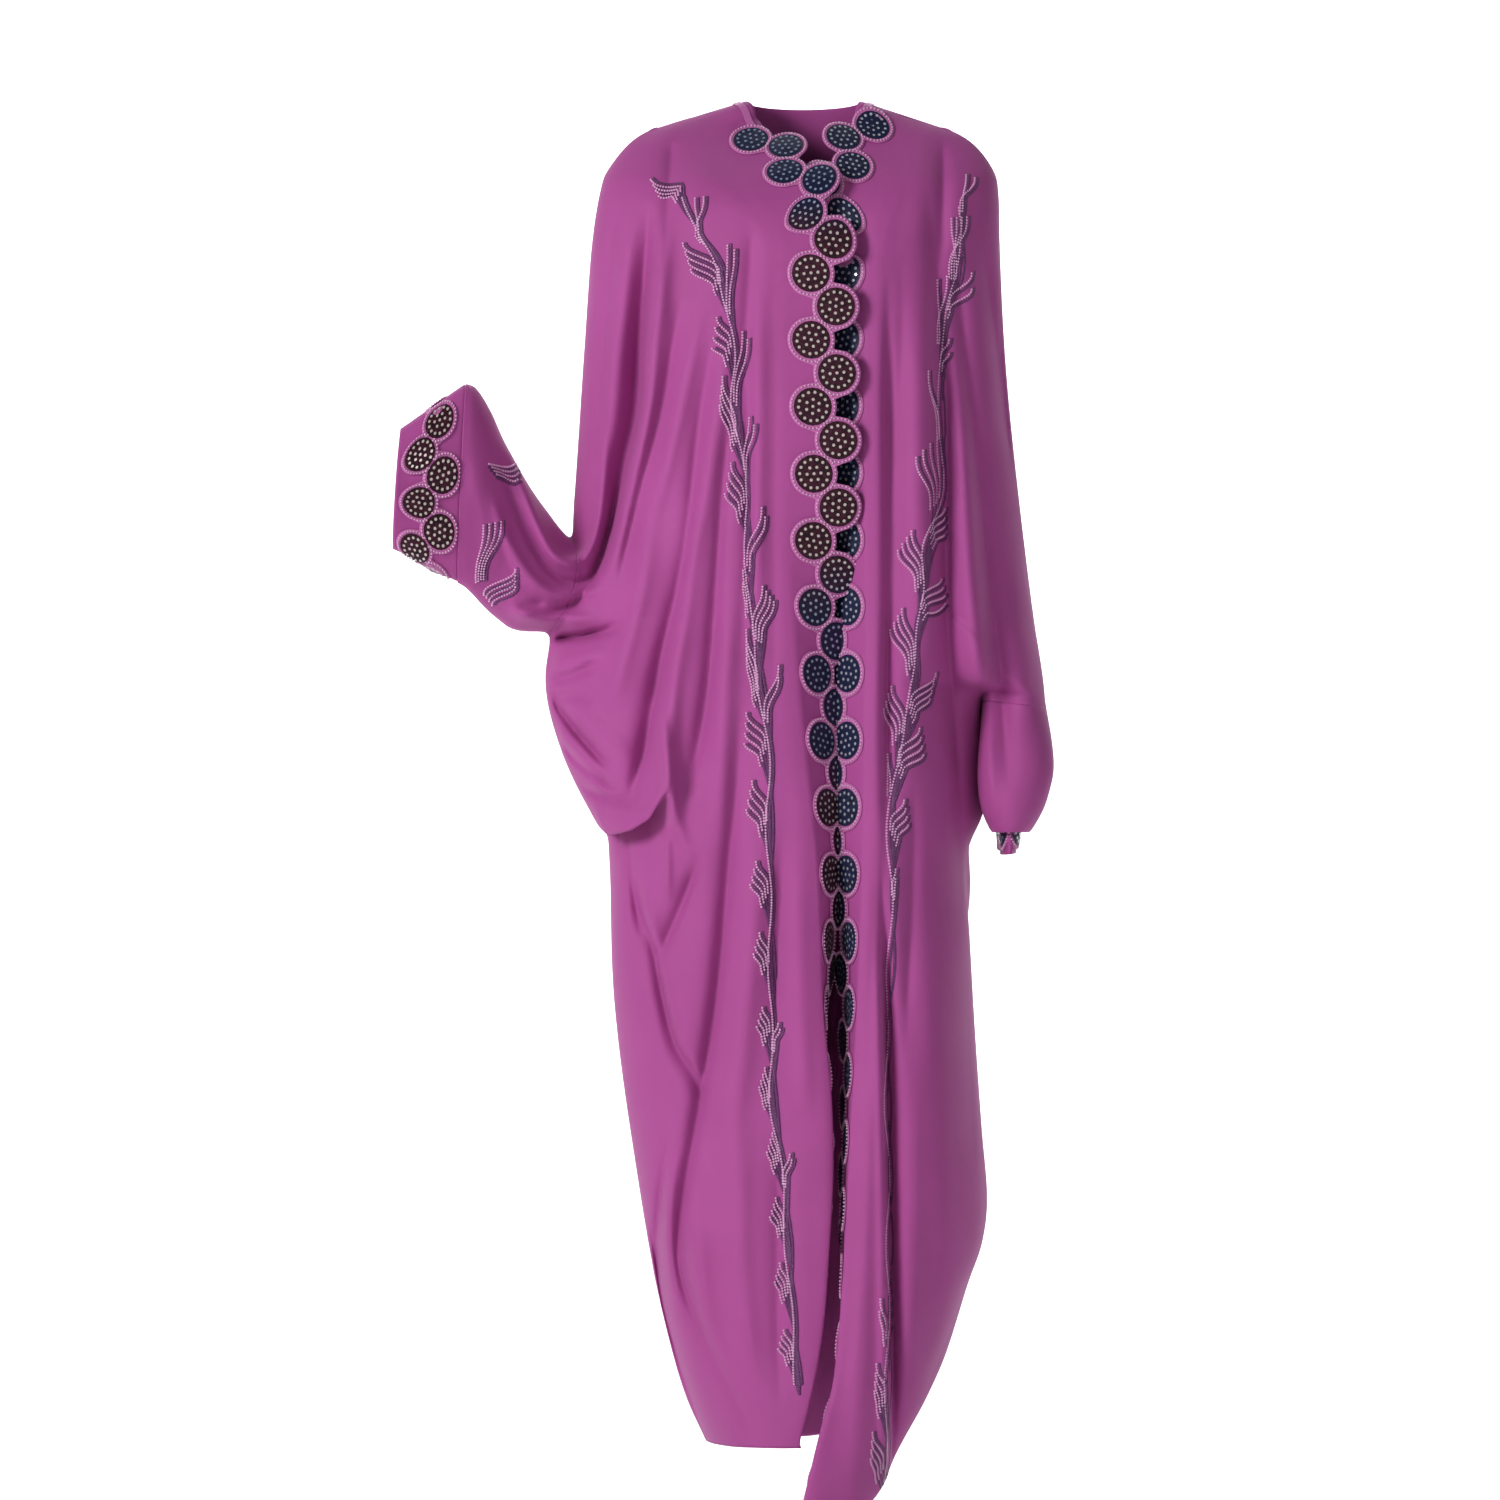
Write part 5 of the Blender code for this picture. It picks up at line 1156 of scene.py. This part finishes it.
# Beaded vines: wavy stems with flame-shaped sprays down each front and on the right sleeve. Every
# strand is a couched line of small glass beads beside a line of dark purple stitching. Tip and
# base are places of the front view.
LEAF = "tip_x tip_z base_x base_z strands step_x step_z"
vine_leaves = {
    "front_right": Table(LEAF, [
        (-16.1, -7.6, -12.7, -9.6, 3, 0.4, -0.9), (-11.3, -9.7, -10.8, -14, 2, 0.9, 0.1),
        (-12.5, -14.4, -8.5, -19.6, 3, 0.4, -1.4), (-7.9, -14.7, -8.1, -21.5, 2, 0.7, -0.5),
        (-9, -22.3, -7.2, -27, 3, -0.25, -1.6), (-6.4, -23.8, -7.2, -31.2, 2, 0.6, -0.8),
        (-8.4, -28.5, -6.5, -36, 3, -0.15, -1.5), (-5.6, -32.8, -6.2, -38.1, 2, 0.5, -0.8),
        (-7.5, -37.5, -5.8, -43.3, 3, -0.3, -1.6), (-4.4, -42.2, -5.8, -48.4, 2, 0.35, -1),
        (-6.3, -48.7, -5.5, -53.3, 2, 0, -1.4), (-4.3, -50.4, -5.5, -56, 3, 0.6, -0.8),
        (-5.9, -54.9, -3.9, -62.5, 3, 0, -1.5), (-2.6, -58.7, -4.5, -64.3, 2, 0, -1.2),
        (-5.9, -63.6, -3.5, -68.8, 3, -0.1, -1.6), (-5.3, -70.7, -3.6, -76.1, 3, -0.3, -1.5),
        (-4.9, -79.1, -3.6, -83.5, 3, -0.3, -1.2), (-4.6, -86.5, -3.5, -90.6, 3, -0.3, -1.1),
        (-4.3, -94.3, -3.4, -97.8, 3, -0.3, -1), (-2.6, -96, -3.3, -98.4, 2, 0.2, -0.6),
        (-4, -100.6, -3.3, -104.5, 3, -0.3, -1), (-3.2, -107.4, -2.4, -111.2, 3, -0.3, -1),
        (-1.4, -109.6, -2.2, -112.6, 2, 0.2, -0.6), (-2.9, -114.2, -1.8, -118, 3, -0.3, -1),
        (-2.4, -121, -1.4, -124.8, 3, -0.3, -1), (-2, -128, -0.9, -131.4, 3, -0.3, -1),
    ]),
    "front_left": Table(LEAF, [
        (18.1, -7.2, 16.4, -10.4, 2, -0.9, 0.3), (15.6, -11.6, 16.4, -17.6, 3, 0.8, 0.1),
        (17.7, -17.3, 15.1, -21.7, 2, 0, -1.7), (14.1, -18.1, 14.2, -24.3, 2, 1, 0.4),
        (15.3, -24.4, 14, -27.4, 2, 0, -1.5), (13.1, -27.8, 14.4, -34.4, 1, 0, 0),
        (14, -34.7, 14.3, -42, 3, -1.1, -1.1), (14.8, -42.2, 12.6, -46, 3, 0, -1.4),
        (11.3, -44.6, 12.6, -50.4, 3, -0.7, -1), (14.4, -49.6, 11.8, -53.4, 3, 0.3, -1.3),
        (10.3, -52.7, 11.7, -59.1, 3, -0.6, -1.1), (13.8, -59.5, 10.8, -64.2, 3, -0.3, -1.3),
        (9.2, -60.8, 10.5, -66.5, 3, -0.4, -1.2), (12.1, -65.2, 9.3, -70, 3, 0.2, -1.4),
        (8.8, -67.9, 9.4, -71.9, 2, 0, -1), (10.5, -72.7, 8.8, -77, 3, 0.2, -1.3),
        (9.6, -79.9, 9.1, -82.8, 2, 0, -1), (8, -124.6, 8.8, -129, 2, -0.1, -1.3),
        (7.6, -131.4, 8.6, -136.6, 3, -0.1, -1.4), (7.2, -138.6, 8.4, -143.8, 3, -0.1, -1.4),
    ]),
    "sleeve_right": Table(LEAF, [
        (-30, -37.4, -33.1, -38.9, 3, 0.1, -0.9), (-33.4, -44, -34.4, -50, 3, 0.9, 0.2),
        (-30.2, -48.6, -33.6, -52.6, 3, 0, -0.9),
    ]),
}
vine_stems = {
    "front_right": Table("z x", [
        (9.6, -12.7), (11.2, -12.3), (14, -10.8), (16.4, -9.2), (21, -8.2), (27, -7.3), (31, -7.4),
        (36, -6.6), (43, -6), (48.4, -5.9), (53.3, -5.6), (58, -5), (63, -4.3), (68.8, -3.7),
        (76.1, -3.7), (83.5, -3.6), (90.6, -3.5), (97.8, -3.4), (104.5, -3.3), (111, -2.4),
        (118, -1.8), (124.8, -1.4), (131.4, -0.9), (134, -0.7),
    ]),
    "front_left": Table("z x", [
        (10.4, 16.4), (17.6, 16.3), (21.7, 15), (25.8, 14.3), (34.4, 14.4), (42, 14.2),
        (46.5, 12.7), (50.4, 12.6), (55, 11.6), (59.1, 11.7), (65, 10.6), (71, 9.3), (77, 8.9),
        (83, 9.1), (100, 8.6), (114, 8.8), (130, 8.7), (146, 8.4),
    ]),
}
VINE_BEAD, BEAD_SPACING = 0.00145, 0.0029
STITCH_OFFSET = 0.0034
STITCH_SPACING, STITCH_SIZE = 0.0024, (0.0019, 0.0022, 0.0006)
STRAND_PLACES, STEM_PLACES = 40, 500
# how far a strand runs on beside the stem, and how far the stem's two swing, in centimetres
TAIL, STEM_TWIST = 3.6, 0.24


def leaf_curves(leaves, stem):
    """Strands of the sprays, in metres, each with how many of its places carry beads. A strand
    hangs straight at its tip, sweeps across to the stem and runs on down beside it, so that the
    stem is a rope of strands."""
    curves = []
    t = np.linspace(0, 1, STRAND_PLACES)[:, None]
    beaded = STRAND_PLACES + STRAND_PLACES // 5
    for tip_x, tip_z, base_x, base_z, strands, step_x, step_z in zip(*leaves.columns.values()):
        # sprays of three strands and more get one more, and it stays within their reach
        many = strands > 2
        count = int(strands) + 1 if many else 2
        back = (strands - 1) / (count - 1) if many else 1.0
        side = math.copysign(1.0, tip_x - base_x)
        for k in range(count):
            tip = np.array([tip_x + k * back * step_x, tip_z + k * back * step_z])
            end_z = base_z - (0.6 if many else 0.5) * (count - 1 - k) * step_z * back
            middle = stem.read("x", -end_z) if stem else base_x
            base = np.array([middle + side * (0.15 + 0.27 * k), end_z])
            dx, dz = base - tip
            flat = abs(dx) > 1.4 * abs(dz)
            first = (0.20 * dx, -0.35 * abs(dx)) if flat else (-0.18 * dx, 0.50 * dz)
            second = (-0.45 * dx, -0.2) if flat else (0.10 * dx, -0.50 * dz)
            curve = (1 - t) ** 3 * tip + 3 * t * (1 - t) ** 2 * (tip + first)
            curve = curve + 3 * t**2 * (1 - t) * (base + second) + t**3 * base
            if stem:
                down = end_z - TAIL * t[1:, 0]
                beside = stem.read("x", -down) + (base[0] - middle) * (1 - t[1:, 0])
                curve = np.concatenate([curve, np.stack([beside, down], axis=1)])
            curves.append((curve * CM, beaded))
    return curves


def stem_curves(stem):
    """Two strands of a stem, which twist slowly about each other. Only one carries beads."""
    down = np.linspace(stem.keys[0], stem.keys[-1], STEM_PLACES)
    curves = []
    for phase, beaded in ((0.0, 0), (math.pi, STEM_PLACES)):
        twist = STEM_TWIST * np.sin(down / 2.3 + phase) * ease((down - down[0]) / 3.0)
        curves.append((np.stack([stem.read("x", down) + twist, -down], axis=1) * CM, beaded))
    return curves


def on_cloth(tree, curve, spacing, height, sideways=0.0):
    """Places along a curve of the front view, laid on the cloth, with their ways along and up."""
    if len(curve) == 0:
        return []
    heading = unit(np.gradient(curve, axis=0))
    curve = curve + np.stack([-heading[:, 1], heading[:, 0]], axis=1) * sideways
    found, last = [], None
    fine = np.linspace(0, len(curve) - 1, 6 * len(curve))
    for x, z in zip(*(np.interp(fine, np.arange(len(curve)), curve[:, i]) for i in range(2))):
        place, normal, _, _ = tree.ray_cast(Vector((x, -1.0, z)), Vector((0, 1, 0)))
        if place is None:
            last = None
            continue
        normal = np.array(normal)
        place = np.array(place) + normal * height
        if last is None or np.linalg.norm(place - last) >= spacing:
            way = np.array([0, 0, -1.0]) if last is None else place - last
            if np.linalg.norm(way) < 3 * spacing:
                found.append((place, unit(way), normal if normal[1] < 0 else -normal))
            last = place
    return found


purple_thread = bead_finish("thread_purple", (0.085, 0.012, 0.095), (0.17, 0.03, 0.16), 0.6, 0.0)
vine_bead = bead_finish("bead_vine", (0.66, 0.24, 0.55), (0.90, 0.58, 0.80), 0.32, 0.1)
for name, leaves in vine_leaves.items():
    grid = grids[name]
    rows, columns = grid.shape[:2]
    low = np.arange(rows - 1)[:, None] * columns
    across = np.arange(columns if name.startswith("sleeve") else columns - 1)
    beside = (across + 1) % columns
    corners = (low + across, low + beside, low + columns + beside, low + columns + across)
    faces = np.stack(corners, axis=-1).reshape(-1, 4)
    tree = BVHTree.FromPolygons(grid.reshape(-1, 3).tolist(), faces.tolist())
    stem = vine_stems.get(name)
    curves = leaf_curves(leaves, stem) + (stem_curves(stem) if stem else [])
    beads, stitches = [], []
    shape = bead_template[0]
    for curve, beaded in curves:
        for place, way, up in on_cloth(tree, curve[:beaded], BEAD_SPACING, 0.0005):
            beads.append(place + up * 0.0003 + shape * VINE_BEAD)
        for place, way, up in on_cloth(tree, curve, STITCH_SPACING, 0.0002, STITCH_OFFSET):
            axes = np.stack([way, unit(np.cross(way, up)), up]) * np.array(STITCH_SIZE)[:, None]
            stitches.append(place + up * 0.0002 + shape @ axes)
    stitched_on(f"vine_beads_{name}", bead_template, beads, vine_bead)
    stitched_on(f"vine_stitching_{name}", bead_template, stitches, purple_thread)


# Studio: a pale floor that sweeps up into a pale backdrop, soft lights from both sides, and the
# camera straight in front at the middle of the garment.
FLOOR, WALL_START, WALL_RISE, SWEEP_RADIUS = -1.60, 1.5, 4.0, 1.5
sweep = bmesh.new()


def run_on(edge, step):
    """Carries the paper on from an edge, and gives its new edge."""
    made = bmesh.ops.extrude_edge_only(sweep, edges=[edge])["geom"]
    new = [part for part in made if isinstance(part, bmesh.types.BMVert)]
    bmesh.ops.translate(sweep, verts=new, vec=step)
    edges = [part for part in made if isinstance(part, bmesh.types.BMEdge)]
    return next(e for e in edges if all(v in new for v in e.verts))


front_edge = sweep.edges.new([sweep.verts.new((x, -6.0, FLOOR)) for x in (-6.0, 6.0)])
floor_edge = run_on(front_edge, (0, 6.0 + WALL_START, 0))
bmesh.ops.spin(
    sweep, geom=[floor_edge, *floor_edge.verts], cent=(0, WALL_START, FLOOR + SWEEP_RADIUS),
    axis=(1, 0, 0), angle=math.pi / 2, steps=16, use_merge=False,
)
top = max(v.co.z for v in sweep.verts)
high_edge = next(e for e in sweep.edges if all(abs(v.co.z - top) < 1e-5 for v in e.verts))
run_on(high_edge, (0, 0, WALL_RISE))
# the faces look into the studio
bmesh.ops.reverse_faces(sweep, faces=sweep.faces[:])
mesh = bpy.data.meshes.new("studio_sweep")
sweep.to_mesh(mesh)
sweep.free()
mesh.shade_smooth()
paper, tree, shader = new_material("pale_paper", (0.9, 0.9, 0.9))
fibre = add_node(tree, "TexNoise", {"Scale": 3.0}).outputs["Fac"]
tone = two_tones(tree, (0.90, 0.90, 0.90), (0.93, 0.93, 0.93), fibre)
set_inputs(tree, shader, {"Roughness": 0.9}, {"Base Color": tone})
# from behind, the backdrop can be seen through, so that the back views show the garment
clear = add_node(tree, "BsdfTransparent").outputs["BSDF"]
behind = add_node(tree, "NewGeometry").outputs["Backfacing"]
seen = add_node(tree, "MixShader", {}, {"Fac": behind, 1: shader.outputs["BSDF"], 2: clear})
set_inputs(tree, tree.nodes["Material Output"], {}, {"Surface": seen.outputs["Shader"]})
mesh.materials.append(paper)
in_scene("studio_sweep", mesh)

for name, place, size, power, aim in (
    ("key_light", (-2.4, -2.5, 0.5), 1.1, 80.0, (0.0, 0.0, -0.65)),
    ("fill_light", (1.6, -3.2, 0.4), 1.6, 12.0, (0.0, 0.0, -0.7)),
    ("backdrop_light", (0.0, 1.2, 2.2), 2.6, 260.0, (0.0, 3.0, 1.6)),
):
    lamp = bpy.data.lights.new(name, "AREA")
    lamp.energy = power
    lamp.size = size
    light = in_scene(name, lamp)
    light.location = place
    light.rotation_mode = "QUATERNION"
    light.rotation_quaternion = (Vector(place) - Vector(aim)).to_track_quat("Z", "Y")
world = bpy.data.worlds.new("studio_air")
bpy.context.scene.world = world
world.use_nodes = True
air = world.node_tree
set_inputs(air, air.nodes["Background"], {"Color": (1, 1, 1, 1), "Strength": 0.22}, {})

PICTURE_WIDTH, CAMERA_DISTANCE = 1.575, 9.0
lens_holder = bpy.data.cameras.new("camera")
lens_holder.sensor_width = 36.0
lens_holder.lens = 36.0 * (CAMERA_DISTANCE - 0.08) / PICTURE_WIDTH
camera = in_scene("camera", lens_holder)
camera.location = (-0.05565, -CAMERA_DISTANCE, -0.67725)
camera.rotation_mode = "QUATERNION"
camera.rotation_quaternion = Vector((0, -1, 0)).to_track_quat("Z", "Y")
bpy.context.scene.camera = camera
bpy.context.scene.view_settings.view_transform = "Standard"
bpy.context.scene.cycles.use_denoising = True
